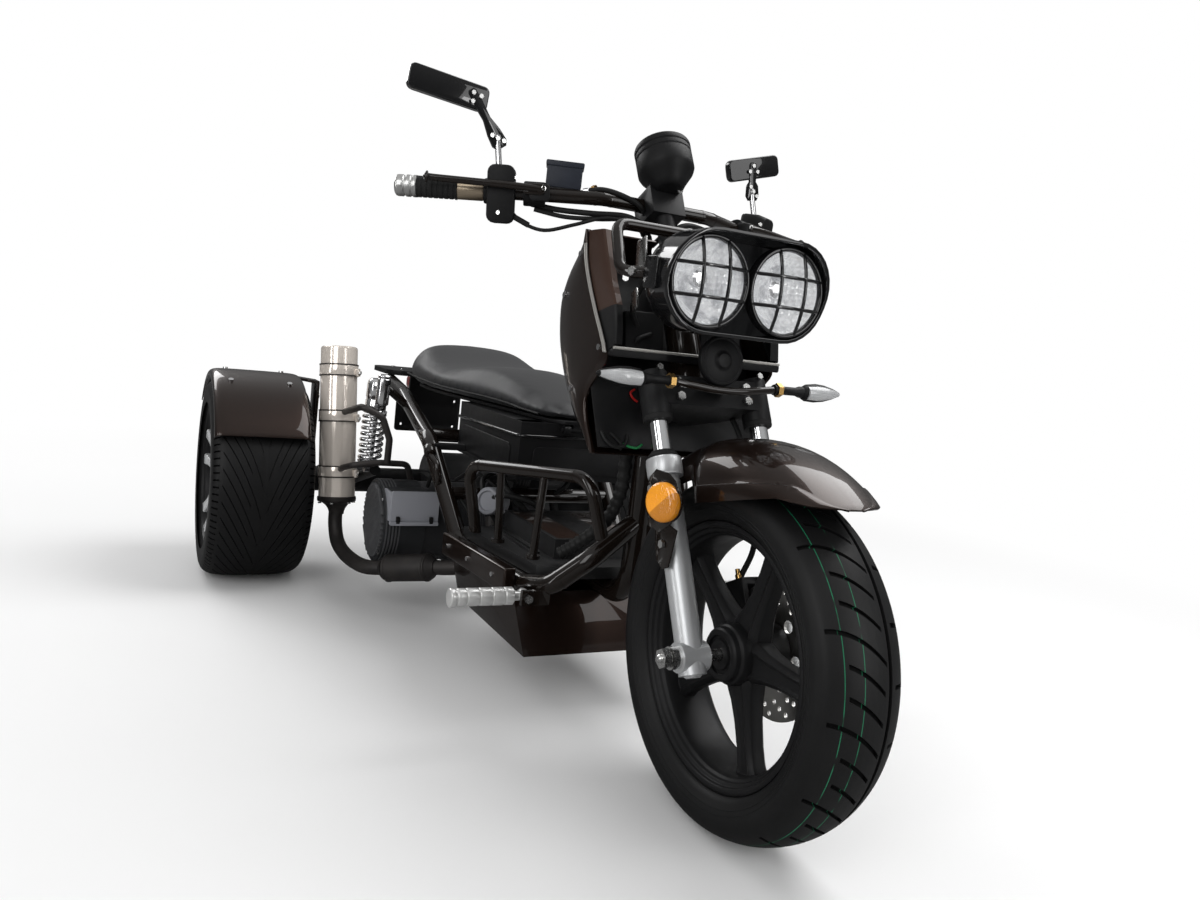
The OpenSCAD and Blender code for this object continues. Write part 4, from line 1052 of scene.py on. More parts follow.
class TRIKE_OT_panels(Piece):
    """Leg shield, liner, belly pan, sills, deck, storage box, seat pan and tail with rounded edges"""

    bl_idname = "trike.panels"
    bl_label = "Body panels"

    FRONT = [(-340, 799), (-350, 757), (-372, 718), (-402, 677), (-444, 621), (-429, 594), (-402, 570), (-391, 547),
             (-401, 518), (-421, 491), (-434, 474)]
    REAR = [(-336, 799), (-303, 763), (-275, 730), (-258, 690), (-264, 640), (-282, 600), (-305, 565), (-327, 540),
            (-352, 517), (-390, 492), (-427, 472)]

    def make(self):
        self.shield()
        recast("chassis", 34,
               ("shield_liner", 1.0, 2, "shield_liner_panel", "moulded_black", "black_plastic"),
               ("belly_pan", 5, 3, "belly_pan_shell", "body_gloss", "body_paint"),
               ("sills", 4, 3, "sill_covers", "body_gloss", "body_paint"),
               ("floor_deck", 2.5, 3, "floor_deck_panel", "deck_black", "black_plastic"),
               ("storage_box", 2, 2, "storage_box_shell", "moulded_black", "black_plastic"),
               ("tail_unit", 2, 2, "tail_panel", "moulded_black", "black_plastic"),
               ("tail_lamp", 3, 3, "tail_lamp_lens", "red_lens", "red_lens"))
        recast("seat_lid", 34, ("seat_base", 1.2, 2, "seat_pan", "moulded_black", "black_plastic"))
        self.box()

    def box(self):
        """Raised panels and the lip of the storage box."""
        sides = [slab(mm(side * 122, 76, 408), AFT, UP, 268, 50, 5, 12) for side in SIDES]
        sides.append(slab(mm(0, -98, 408), CROSS, UP, 190, 50, 5, 12))
        sides += [slab(mm(side * 94, 69, 474), AFT, CROSS, 326, 50, 5, 4) for side in SIDES]
        sides.append(slab(mm(0, -72, 474), CROSS, AFT, 236, 46, 5, 4))
        keep(joined(sides), "storage_box_panels", "moulded_black", "chassis", (), 40)
        lip = bent([mm(x, y, z) for x, y, z in ((-124, 234, 446), (-124, -100, 452), (124, -100, 452),
                                                (124, 234, 446))], 0.018)
        keep(tube(lip, 3.4, 3), "storage_box_lip", "visor_gloss", "chassis", (), 60)

    def shield(self):
        """Leg shield: a rounded shell open to the front, with grey lines along its edges as a painted highlight,
        front bands whose upper ones carry a lighter copy of the body paint as a painted highlight, and a shelf.
        """
        curve = lambda rows: smooth([mm(0, *row) for row in rows], 4)
        rings = []
        for a, b in zip(curve(self.FRONT), curve(self.REAR)):
            wide = (a - b).length
            corner = min(1, wide / 0.04) / 1000
            way = (a - b).normalized()
            half = [(-4 * corner, 0), (-4 * corner, 50), (-3.5 * corner, 95), (-2 * corner, 122), (2 * corner, 138),
                    (9 * corner, 146), (20 * corner, 149)]
            half += [(20 * corner + (wide - 20 * corner) * share, x) for share, x in ((0.3, 151.5), (0.6, 151.8),
                    (0.85, 150.4), (0.96, 149), (1, 147), (0.985, 143.5))]
            ring = [b + way * d + CROSS * x / 1000 for d, x in half]
            rings.append(mirrored(ring) + ring[1:])
        ob = loft(rings, False)
        modify(ob, "SOLIDIFY", thickness=0.003, offset=-1)
        alone()
        bpy.ops.mesh.primitive_cylinder_add(vertices=48, radius=0.0285, depth=0.5, location=fork(0, STEM_BEHIND, 600),
                                            rotation=(-CASTER, 0, 0))
        bore(ob, bpy.context.object)
        keep(ob, "leg_shield_panels", "body_gloss", "chassis", ["leg_shield"], 42)
        lines, tan, dark = [], [], []
        upper = [(-343, 797, -386, 798), (-351, 757, -404, 762), (-372, 718, -425, 722), (-402, 678, -447, 690)]
        lower = [(-402, 678, -447, 690), (-423, 650, -455, 660), (-443, 622, -459, 634)]
        for side in SIDES:
            # Painted highlight: pairs of grey lines along the flange edge stand in for the light it catches.
            for shift in (0, 5.4):
                lines.append(tube([p + mm(side * 150.4, shift, 0) for p in curve(self.FRONT)[2:17]], 1.7, 2))
            # The upper bands take a lighter copy of the body paint as a painted highlight; the lower ones are moulded
            # black.
            for rows, group in ((upper, tan), (lower, dark)):
                strip = lambda share, x, d: [mm(side * x, ya + (yb - ya) * share + d, za + (zb - za) * share)
                                             for ya, za, yb, zb in rows]
                band = loft([strip(-0.04, 144, 0), strip(0.02, 147.5, 0), strip(0.5, 147, 0), strip(0.94, 145, 0),
                             strip(1, 142, 0), strip(0.99, 131, 3)], False)
                group.append(modify(band, "SOLIDIFY", thickness=0.0025, offset=-1))
        # Painted highlight: a grey line along the front edge of the shelf.
        lines.append(tube([mm(x, -459, 629) for x in range(-146, 147, 73)], 2.3, 3))
        dark.append(slab(mm(0, -452, 622), CROSS, UP, 294, 11, 15, 3))
        keep(joined(lines), "shield_edge_highlights", "edge_highlight_grey", "chassis", (), 60)
        keep(joined(tan), "shield_bands", "body_painted_highlight", "chassis", (), 42)
        keep(joined(dark), "shield_shelf", "moulded_black", "chassis", (), 42)


class TRIKE_OT_front_guard(Piece):
    """Front mudguard: a beaked shell with a lip along its lower edge, drawn in between the fork legs"""

    bl_idname = "trike.front_guard"
    bl_label = "Front mudguard"

    SECTION = [(0, 289.5), (14, 288.9), (27, 287.3), (39, 284.5), (50, 280), (59, 273.5), (66, 264.5), (71, 253.5),
               (74.5, 241.5), (76.2, 227), (76.8, 210), (77, 190)]

    def make(self):
        rings = []
        count = 44
        for k in range(count + 1):
            angle = math.radians(36 - 72.2 * k / count)
            half = self.trimmed(angle)
            way = Vector((0, math.sin(angle), math.cos(angle)))
            rings.append([FRONT_AXLE + way * r / 1000 + CROSS * x / 1000
                          for x, r in [(-x, r) for x, r in reversed(half)] + half[1:]])
        ob = loft(rings, False)
        modify(ob, "SOLIDIFY", thickness=0.003, offset=-1)
        rounded(ob, 0.9, 2, 50)
        keep(ob, "front_guard_shell", "body_gloss", "steering", ["front_guard"], 40)

    def trimmed(self, angle):
        """Half of the section at an angle from the top, cut at the lower edge, with the lip pressed out."""
        reach = 220
        for _ in range(12):
            y = reach * math.sin(angle)
            edge = 233 if y < -110 else 233 - 0.25 * (y + 110)
            reach = edge / math.cos(angle)
        behind = max(0, min(1, (math.degrees(angle) - 13) / 7))
        reach = min(288.9, max(reach, 198 + 36 * behind))
        narrow = 1 - 0.17 * behind
        fine = [Vector((x, 0, r)) for x, r in self.SECTION]
        fine = [p for p in smooth(fine, 6) if p.z > reach] or [Vector((0, 0, 289.5))]
        last = fine[-1].copy()
        last.z = reach
        fine.append(last)
        lengths = [0]
        for a, b in zip(fine, fine[1:]):
            lengths.append(lengths[-1] + (b - a).length)
        total = lengths[-1]
        lip = min(24, total * 0.3)
        spots = [(total - lip) * k / 11 for k in range(12)] + [total - lip + 1.5, total - lip * 0.5, total]
        out = []
        for i, spot in enumerate(spots):
            j = next((n for n in range(1, len(lengths)) if lengths[n] >= spot - 1e-9), len(lengths) - 1)
            share = (spot - lengths[j - 1]) / max(1e-9, lengths[j] - lengths[j - 1])
            p = fine[j - 1].lerp(fine[j], min(1, share))
            push = min(2.6, total * 0.03) if i > 11 else 0
            out.append((p.x * narrow + push, p.z + push * 0.3))
        out[0] = (0, out[0][1])
        return out


class TRIKE_OT_headlamps(Piece):
    """Hooded twin headlamps: hood, hoop, faceted bowls, bulb shields, clear domes and domed wire guards"""

    bl_idname = "trike.headlamps"
    bl_label = "Headlamps"

    def make(self):
        back = LAMP_Y + 0.068
        wide = 0.1355
        out, inn = stadium(wide, 0.071), stadium(0.1305, 0.066)
        shrink = lambda rows, share: [(x * share, z * share) for x, z in rows]
        lean = lambda rows, y: [Vector((p.x, p.y - max(0, p.z - LAMP_Z + 0.02) * 0.2, p.z)) for p in ring_of(rows, y)]
        hood = loft([ring_of(shrink(out, 0.5), back - 0.001), ring_of(shrink(out, 0.86), back - 0.001),
                     ring_of(shrink(out, 0.955), back - 0.008),
                     ring_of(shrink(out, 0.99), back - 0.024), ring_of(out, back - 0.045), lean(out, LAMP_Y + 0.002),
                     lean(shrink(out, 1.004), LAMP_Y - 0.004), lean(inn, LAMP_Y - 0.005),
                     lean(inn, LAMP_Y + 0.002), ring_of(inn, back - 0.04), ring_of(shrink(inn, 0.97), back - 0.016),
                     ring_of(shrink(inn, 0.55), back - 0.0105)])
        obs = [rounded(hood, 0.8, 2, 40)]
        for side in SIDES:
            obs.append(slab(Vector((side * 0.1365, LAMP_Y + 0.03, LAMP_Z + 0.004)), AFT, UP, 34, 44, 6, 6))
        keep(joined(obs), "lamp_hood", "visor_gloss", "chassis", ["lamp_surround"], 40)
        half = [Vector((wide - 0.004, back - 0.014, LAMP_Z + 0.004)),
                Vector((wide + 0.018, back + 0.02, LAMP_Z + 0.004)),
                Vector((wide + 0.010, back + 0.064, LAMP_Z + 0.074))]
        keep(tube(bent(half + mirrored(half), 0.024), 8.6, 5), "lamp_hoop_tube", "tube_gloss", "chassis", (),
             60)
        spots = []
        for side in SIDES:
            spots.append((Vector((side * (wide + 0.010), back - 0.004, LAMP_Z + 0.004)), (side, -0.4, 0), 6.4))
            spots.append((Vector((side * (wide + 0.012), back + 0.012, LAMP_Z - 0.005)), (side * 0.6, -0.8, 0), 5))
        keep(stamp(hex_bolt(), spots), "lamp_hoop_bolts", "bright_zinc", "chassis")
        bowls, lenses, rings, shields = [], [], [], []
        for side in SIDES:
            lamp = Vector((side * 0.0645, LAMP_Y, LAMP_Z))
            bowls.append(turned([(56.5, 0), (52, -6), (45, -16), (36, -27), (25, -37), (14, -43), (0, -45), (0, -47),
                                 (16, -45.5), (28, -39), (40, -28), (50, -16), (59.5, -4), (59.5, 0)], lamp, AHEAD,
                                64))
            lenses.append(turned([(0, 7.5), (14, 7.0), (28, 5.6), (40, 3.6), (50, 1.2), (56.5, -1.6), (56.5, -4.2),
                                  (50, -1.4), (40, 1.2), (28, 3.2), (14, 4.6), (0, 5.1)], lamp, AHEAD, 64))
            rings.append(turned([(57.2, -8), (57.2, 4), (58.4, 6.2), (60.6, 7), (62.8, 6.2), (63.8, 4), (63.8, -8)],
                                lamp, AHEAD, 64, True))
            for at in (-21, 21):
                for flat in (0, 1):
                    end = math.sqrt(60.5 ** 2 - at ** 2)
                    bar = []
                    for k in range(17):
                        q = -end + 2 * end * k / 16
                        lift = (5 + 15 * (1 - (at * at + q * q) / 60.5 ** 2)) / 1000
                        bar.append(lamp + Vector((q if flat else at, 0, at if flat else q)) / 1000 + AHEAD * lift)
                    rings.append(tube(bar, 2.6, 2))
            shields.append(turned([(0, -8), (9, -9), (12.5, -12), (13.2, -17), (12.4, -24), (9, -26), (7, -30),
                                   (7, -44), (0, -44)], lamp + Vector((-0.006, 0, 0.004)), AHEAD, 32))
            shields.append(turned([(56.8, -3), (59, -3), (59, 1.5), (56.8, 0.5)], lamp, AHEAD, 64, True))
        keep(joined(bowls), "lamp_bowls", "lamp_bowl", "chassis", ["headlamps"], 60)
        keep(joined(lenses), "lamp_domes", "lamp_lens", "chassis", (), 60)
        keep(joined(rings), "lamp_guards", "visor_gloss", "chassis", (), 45)
        keep(joined(shields), "bulb_shields", "chrome", "chassis")


class TRIKE_OT_bar(Piece):
    """Grips with bar ends and sleeves, switch housings, levers, brake reservoir, hoses and cables"""

    bl_idname = "trike.bar"
    bl_label = "Handlebar controls"

    def make(self):
        self.controls()
        self.reservoir()
        self.cables()

    def controls(self):
        """Grips, switch housings and levers."""
        ends, rubber, sleeves, housings, levers, screws = [], [], [], [], [], []
        for side in SIDES:
            tip, inn = on_bar(side * 385, 130, -16), on_bar(side * 98, 0, 0)
            way = (inn - tip).normalized()
            flip = lambda x, y, z: on_bar(-side * x, y, z)
            ends.append(rounded(turned([(0, -9.5), (12, -9.5), (15.6, -7), (16.6, -4), (16.6, 4), (15.2, 5),
                                        (15.2, 7.4), (16.8, 8.4), (16.8, 15), (15.4, 16), (15.4, 18), (16.9, 19),
                                        (16.9, 24), (11.4, 24.5), (11.4, 0), (0, 0)], tip, way, 40), 0.5, 2, 30))
            ribs = [(11.4, 24.6), (16.9, 24.8)]
            for k in range(7):
                h = 26 + k * 8.2
                ribs += [(16.4, h), (16.4, h + 5.6), (15.5, h + 6.2), (15.5, h + 7.6)]
            rubber.append(turned(ribs + [(16.8, 84), (16.8, 87), (11.4, 87)], tip, way, 40, True))
            sleeves.append(turned([(11.4, 87.2), (15.3, 87.2), (15.8, 88.5), (15.8, 126), (15, 128), (11.4, 128)],
                                  tip, way, 40, True))
            housings.append(turned([(11.4, 128.5), (18.5, 128.5), (19.5, 131), (19.5, 134), (11.4, 134)], tip, way,
                                   36, True))
            middle = tip + way * 0.1555
            up = Vector((0, -0.10, 1))
            housings.append(slab(middle + Vector((0, 0, -0.004)), way, up, 43, 88, 46, 12, 0.9))
            housings.append(slab(middle + Vector((0, 0.016, 0.030)), way, up, 30, 22, 26, 6, 0.85))
            housings.append(turned([(11.4, 190), (18, 190), (19, 192), (19, 221), (18, 224), (11.4, 224)], tip, way,
                                   36, True))
            housings.append(slab(tip + way * 0.207 + Vector((0, -0.020, 0)), way, UP, 32, 26, 22, 6, 0.9))
            screws += [(middle + Vector((0, -0.0235, z)) + way * x, AHEAD, 3.2)
                       for x, z in ((0.012, 0.02), (-0.012, -0.034))]
            screws.append((tip + way * 0.207 + Vector((0, -0.031, 0.006)), AHEAD, 4))
            lever = smooth([flip(-196, 20, -2), flip(-206, 17, -1), flip(-250, 33, -1), flip(-300, 55, -2),
                            flip(-345, 74, -3), flip(-357, 79, -3), flip(-361, 80, -3), flip(-366, 82, -3)], 5)
            count = len(lever)
            knob = lambda k: 1.45 * math.sin(math.pi * min(1, 0.22 + (k - count + 10) / 12)) + 0.15
            fat = [1.5 if k < 4 else 1.05 - 0.15 * k / count if k < count - 9 else knob(k) for k in range(count)]
            levers.append(tube(lever, 5.6, 4, fat))
            levers.append(slab(flip(-205, 28, -2), way, UP, 34, 17, 26, 6, 0.85))
        keep(joined(ends), "bar_ends", "brushed_alloy", "steering", ())
        keep(joined(rubber), "grip_rubbers", "grip_rubber", "steering", ["grips"], 45)
        keep(joined(sleeves), "grip_sleeves", "bronze_sleeve", "steering")
        keep(joined(housings), "switch_housings", "moulded_black", "steering", ["bar_controls"], 40)
        keep(joined(levers), "brake_levers", "tube_gloss", "steering", (), 60)
        keep(stamp(cap_bolt(), screws), "control_screws", "bright_zinc", "steering")

    def reservoir(self):
        """Brake reservoir with its lid and union."""
        spot = on_bar(-151, 41, 26)
        along = Vector((0.913, -0.407, 0))
        tank = slab(spot, along, UP, 56, 34, 36, 5, 0.97)
        lid = slab(spot + mm(0, 0, 19.5), along, UP, 60, 8, 40, 2.4)
        keep(joined([tank, lid]), "brake_reservoir", "dark_blue", "steering", (), 40)
        top = [(spot + mm(0, 0, 23) + along * x, UP, 2.6) for x in (-0.022, 0.022)]
        keep(stamp(cap_bolt(), top), "reservoir_screws", "bright_zinc", "steering")
        fit = on_bar(-112, 16, 12)
        keep(stamp(hex_bolt(), [(fit, (0.5, -0.85, 0.1), 8), (fit + mm(14, -7, -4), (0.9, -0.4, -0.2), 5)]),
             "banjo_bolt", "brass", "steering")

    def cables(self):
        """Hoses and cables from the controls, held to the stem."""
        runs = [(((-128, 14, 8), (-100, 2, 14), (-70, -12, 8), (-40, -16, -4), (-18, -2, -24), (-12, 16, -44)), 4.0),
                (((-198, 52, -20), (-160, 36, -24), (-110, 10, -24), (-60, -10, -22), (-24, -8, -34), (-8, 14, -56)),
                 4.6),
                (((-194, 48, -28), (-150, 28, -34), (-104, 4, -32), (-56, -14, -28), (-18, -12, -44), (2, 14, -60)),
                 3.6),
                (((-230, 50, -38), (-214, 42, -52), (-182, 26, -60), (-140, 8, -46), (-96, -8, -30), (-48, -14, -32),
                  (-10, 2, -54)), 2.9),
                (((198, 52, -18), (150, 30, -24), (100, 4, -20), (50, -12, -20), (16, -6, -40), (6, 14, -58)), 4.4)]
        keep(joined([hose(rows, r, at=on_bar) for rows, r in runs]), "bar_cables", "hose_rubber", "steering", (),
             60)
        elbow = hose(((-250, 62, -34), (-249, 60, -44), (-243, 56, -46), (-236, 53, -41)), 4.2, 3, 5, on_bar)
        ferrule = hose(((-226, 47, -45), (-205, 37, -55)), 4.6, 3, 4, on_bar)
        keep(joined([elbow, turned([(0, 0), (4.4, 0), (4.4, 8), (3.2, 9), (0, 9)], on_bar(-128, 14, 8),
                                   (0.8, -0.5, 0.2), 16)]), "throttle_elbow", "chrome", "steering")
        keep(ferrule, "cable_boots", "grip_rubber", "steering")


class TRIKE_OT_gauge(Piece):
    """Gauge pod with a ringed bezel, a plain dial with ticks and a needle, and its bracket"""

    bl_idname = "trike.gauge"
    bl_label = "Gauge"

    def make(self):
        base = on_bar(0, -16, 56)
        up = Vector((0, 0.5, 0.8660254))
        pod = turned([(0, -33.5), (20, -33.5), (25, -30), (28, -25), (38, -12), (43.5, -5), (45.6, 0), (45.6, 22),
                      (44.6, 23), (44.6, 25), (45.6, 26), (45.6, 32), (44.6, 33), (44.6, 35), (45.8, 36), (45.8, 42),
                      (44.6, 45), (42, 46), (40, 44.8), (39, 40), (0, 39.5)], base, up, 72)
        stem = tube(bent([on_bar(0, -4, 28), on_bar(0, -18, 34), on_bar(0, -20, 49)], 0.012), 12, 4)
        arms = [plate([on_bar(side * 15, y, z) for y, z in ((-22, 20), (-6, 22), (-5, 30), (-14, 44), (-26, 40))],
                      (side * 0.004, 0, 0)) for side in SIDES]
        keep(rounded(joined([pod, stem, *arms]), 0.6, 2, 35), "gauge_pod", "moulded_black", "steering", ["gauge"],
             40)
        ticks = []
        side = up.orthogonal().normalized()
        for k in range(25):
            turn = Matrix.Rotation(math.radians(-130 + k * 260 / 24), 3, up)
            way = turn @ side
            ticks.append(slab(base + up * 0.0404 + way * (0.032 if k % 4 else 0.0305), way, up.cross(way),
                              4 if k % 4 else 8, 1.1, 0.8, 0.3))
        ticks.append(slab(base + up * 0.0412 + side * 0.010, side, up.cross(side), 30, 1.8, 0.9, 0.5))
        ticks.append(turned([(0, 43.2), (4.6, 43.0), (5.4, 41.8), (5.4, 39.6), (0, 39.6)], base, up, 24))
        keep(joined(ticks), "gauge_dial_marks", "machined_alloy", "steering")
        keep(turned([(0, 44.4), (20, 44.2), (40.4, 43.2), (40.4, 42.2), (20, 43), (0, 43.2)], base, up, 64),
             "gauge_glass", "lamp_lens", "steering")
        spots = [(on_bar(-19.2, -17, 36), (-1, 0, 0), 4.4), (on_bar(19.2, -17, 36), CROSS, 4.4),
                 (on_bar(-16, -34, 36), (-0.3, -1, 0), 5.5), (on_bar(18, -32, 30), (0.2, -1, 0), 5.5)]
        keep(stamp(cap_bolt(), spots), "gauge_bolts", "bright_zinc", "steering")


class TRIKE_OT_mirrors(Piece):
    """Slim mirrors on flat jointed arms with bright bolts"""

    bl_idname = "trike.mirrors"
    bl_label = "Mirrors"

    def make(self):
        heads, glass, stems, bolts = [], [], [], []
        for middle, tilt, long, arm in (((-337, 90, 133), 6, 127, ((-296, 90, 128), (-252, 84, 70), (-247, 68, 13))),
                                        ((236, 90, 115), -16, 107, ((232, 90, 112), (238, 84, 70), (247, 68, 13)))):
            t = math.radians(tilt)
            along, up = Vector((math.cos(t), 0, -math.sin(t))), Vector((math.sin(t), 0, math.cos(t)))
            at = on_bar(*middle)
            heads.append(slab(at + Vector((0, -0.0005, 0)), along, up, long, 37.5, 20, 9, 0.93))
            glass.append(slab(at + Vector((0, 0.0098, 0)), along, up, long - 9, 30, 1.6, 7))
            a, b, c = (on_bar(*p) for p in arm)
            a, b = a + Vector((0, -0.0125, 0)), b + Vector((0, -0.006, 0))
            way = (b - a).normalized()
            wide = AFT.cross(way).normalized()
            rows = ((-0.012, 4.5), (-0.008, 7), (0.01, 7.5), ((b - a).length * 0.5, 6.2),
                    ((b - a).length - 0.014, 11.5), ((b - a).length + 0.004, 13), ((b - a).length + 0.012, 8))
            left = [a + way * d + wide * w / 1000 for d, w in rows]
            right = [a + way * d - wide * w / 1000 for d, w in reversed(rows)]
            heads.append(rounded(plate(left + right, (0, 0.006, 0)), 0.8, 2, 25))
            stems.append(turned([(0, -8), (6.2, -8), (6.2, -2), (4.8, 0), (4.8, 40), (6.4, 42), (6.4, 56), (0, 56)],
                                b + Vector((0, 0.004, 0)), c - b, 24))
            spots = [a + way * 0.004 + wide * 0.008 * k for k in (-1, 1)] + [a - way * 0.006,
                    b - way * 0.012 + wide * 0.006, b - way * 0.004, b + way * 0.004 - wide * 0.007]
            bolts += [(p + Vector((0, -0.0002, 0)), AHEAD, 3.4) for p in spots]
        keep(joined(heads), "mirror_heads", "visor_gloss", "steering", ["mirrors"], 40)
        keep(joined(glass), "mirror_glasses", "mirror_glass", "steering")
        keep(joined(stems), "mirror_stems", "chrome", "steering")
        keep(stamp(cap_bolt(), bolts), "mirror_bolts", "bright_zinc", "steering")


class TRIKE_OT_signals(Piece):
    """Leaf-shaped front signals on dark stalks with brass nuts, and amber side reflectors on their plates"""

    bl_idname = "trike.signals"
    bl_label = "Signals and reflectors"

    PLATES = [
        (112, 0.0025, ((-622, 446), (-612, 466), (-592, 474), (-560, 474), (-545, 460), (-541, 424), (-556, 396),
                       (-586, 392), (-612, 410))),
        (109, 0.003, ((-606, 396), (-556, 398), (-546, 424), (-552, 440), (-580, 430), (-604, 420))),
        (110.5, 0.003, ((-626, 404), (-590, 410), (-572, 398), (-584, 356), (-602, 346), (-616, 352)))]

    def make(self):
        self.signals()
        self.reflectors()

    def signals(self):
        """Front signals on their bar."""
        spot = fork(0, -53, 366.5)
        shells, lenses, nuts = [], [], []
        for side in SIDES:
            rows = [(133, 7, 8), (136, 9.5, 10), (142, 12.5, 12), (160, 14, 13), (176, 12.5, 12), (192, 8.5, 9.5),
                    (203, 4.5, 6), (207.5, 1.6, 2.5)]
            ring = lambda x, h, d, lift: [spot + mm(side * x, d * math.cos(t) * (0.6 if math.cos(t) > 0 else 1),
                                                    lift + h * math.sin(t)) for t in angles(20)]
            shells.append(rounded(loft([ring(x, h, d * 0.9, (x - 150) * 0.03) for x, h, d in rows]), 0.6, 2, 40))
            lenses.append(loft([[p + mm(0, -1.6, 0) for p in ring(x, h * 0.86, d, (x - 150) * 0.03)]
                                for x, h, d in rows[2:-1]]))
            shells.append(turned([(0, 84), (7.8, 84), (7.8, 96), (6.2, 99), (6.2, 124), (8.4, 131), (8.4, 136),
                                  (0, 136)], spot, (side, 0, 0), 24))
            nuts.append((spot + mm(side * 86, 0, 0), (side, 0, 0), 10.5))
        keep(joined(shells), "signal_bodies", "moulded_black", "steering", ["front_signals"], 40)
        keep(joined(lenses), "signal_lenses", "signal_lens", "steering", (), 30)
        keep(stamp(hex_bolt(), nuts), "signal_nuts", "brass", "steering")
        rail = smooth([spot + mm(-88, 0, 0), spot + mm(-60, -2, -3), spot + mm(-20, -4, -7), spot + mm(20, -4, -7),
                       spot + mm(60, -2, -3), spot + mm(88, 0, 0)], 5)
        tongue = plate([spot + mm(x, y, -12) for x, y in ((-24, 0), (24, 0), (18, 36), (-18, 36))], (0, 0, 0.007))
        keep(joined([tube(rail, 5.6, 4), rounded(tongue, 1)]), "signal_bar", "tube_gloss", "steering", (),
             60)

    def reflectors(self):
        """Side reflectors on their plates."""
        lenses, plates, bolts = [], [], []
        for side in SIDES:
            way = Vector((side * math.cos(math.radians(20)), -math.sin(math.radians(20)), 0))
            at = mm(side * 119, -598, 436)
            lenses.append(turned([(0, 10.8), (16, 10.5), (22, 9.8), (25.2, 8.4), (26.8, 5.4), (27, 0.4), (0, 0.4)],
                                 at, way, 48))
            plates.append(turned([(0, 0), (28.2, 0), (28.8, -1), (28.8, -3), (28, -4), (0, -4)], at, way, 48))
            for x, thick, outline in self.PLATES:
                plates.append(rounded(plate([mm(side * x, y, z) for y, z in outline], (side * thick, 0, 0)), 0.7))
            bolts += [(mm(side * 114.5, -556, 446), (side, 0, 0), 5.2), (mm(side * 113.5, -600, 380), (side, 0, 0),
                    6), (mm(side * 114.5, -618, 440), (side, 0, 0), 4)]
        keep(joined(plates), "reflector_plates", "tube_gloss", "steering", ["front_reflectors"], 40)
        keep(joined(lenses), "amber_reflectors", "amber_lens", "steering", (), 40)
        keep(stamp(hex_bolt(), bolts), "reflector_bolts", "bright_zinc", "steering")


class TRIKE_OT_fork(Piece):
    """Fork crown, dust seals, axle nuts, caliper, horn, brake hose and their bolts"""

    bl_idname = "trike.fork"
    bl_label = "Fork"

    def make(self):
        recast("steering", 40, ("fork_crown", 2.0, 3, "fork_crown_cast", "cast_black", "crown_black"),
               ("brake_caliper", 2.2, 3, "brake_caliper_cast", "cast_black", "crown_black"))
        seals, nuts, bolts, caps = [], [], [], []
        for side in SIDES:
            leg = fork(side * 87, 0, 0)
            seals.append(turned([(13.6, 270.2), (20.5, 270.2), (21.6, 272), (21.6, 275), (19, 278), (16.4, 281),
                                 (13.6, 281)], leg, FORK_UP, 40, True))
            seals.append(turned([(13.8, 326), (20.4, 326), (21.2, 328), (21.2, 333), (13.8, 333)], leg, FORK_UP, 40,
                                True))
            caps.append(turned([(0, -27.5), (9, -27.5), (11, -26), (12, -24), (18.7, -24), (18.7, -19), (0, -19)],
                               leg, FORK_UP, 36))
            caps.append(turned([(18.2, 232), (19.2, 233), (19.2, 238), (18.2, 239)], leg, FORK_UP, 40, True))
            caps.append(turned([(24.4, 246), (25.2, 248), (25.2, 266), (24.4, 268.5)], leg, FORK_UP, 40, True))
            nuts.append((FRONT_AXLE + mm(side * 119.5, 0, 0), (side, 0, 0), 13.5))
            bolts += [(fork(side * 58, -20, 347 + s), -FORK_BACK, 6.8) for s in (11, 32)]
            bolts += [(fork(side * 87, -21.5, 400), -FORK_BACK, 5)]
        keep(joined(seals), "dust_seals", "grip_rubber", "steering", ())
        keep(joined(caps), "slider_bands", "fork_silver", "steering", ())
        keep(stamp(hex_bolt(), nuts), "axle_nuts", "bright_zinc", "steering", ())
        keep(stamp(hex_bolt(), bolts), "crown_bolts", "bright_zinc", "steering")
        tips = [turned([(0, 0), (5.5, 0), (6, 1), (6, 5), (4, 7), (0, 7.6)], FRONT_AXLE + mm(side * 130, 0, 0),
                       (side, 0, 0), 20) for side in SIDES]
        keep(joined(tips), "axle_tips", "bright_zinc", "steering", ())
        horn = Vector((0, -0.512, 0.626))
        disc = turned([(0, 12), (10, 11.5), (12, 9), (16, 7.5), (27, 8), (31, 6), (33, 7.5), (36, 6), (37, 2),
                       (36, -3), (30, -8), (16, -14), (0, -16)], horn, (0, -1, 0.15), 56)
        arm = tube(bent([horn + mm(0, 14, 0), horn + mm(0, 26, -6), horn + mm(0, 30, -26)], 0.01), 5, 3)
        keep(rounded(joined([disc, arm]), 0.5, 2, 35), "horn_disc", "moulded_black", "steering")
        keep(stamp(hex_bolt(), [(fork(70, 66, 104), -FORK_BACK + FORK_UP * 0.2, 5), (fork(79, 18, 90), CROSS, 5.5),
                                (fork(79, 18, 56), CROSS, 5.5)]), "caliper_bolts", "bright_zinc", "steering")
        keep(turned([(0, 0), (5, 0), (5, 9), (3.6, 11), (3.6, 18), (0, 18)], fork(54, 60, 108), FORK_UP, 18),
             "hose_end", "brass", "steering")
        line = hose(((59, 22, 346.5), (68, 27, 335), (79, 31, 300), (80, 32, 250), (80, 33, 190), (75, 44, 150),
                     (62, 57, 122), (54, 60, 110)), 4.3, 3, at=fork)
        keep(line, "brake_hose_line", "hose_rubber", "steering", ["brake_hose"], 60)


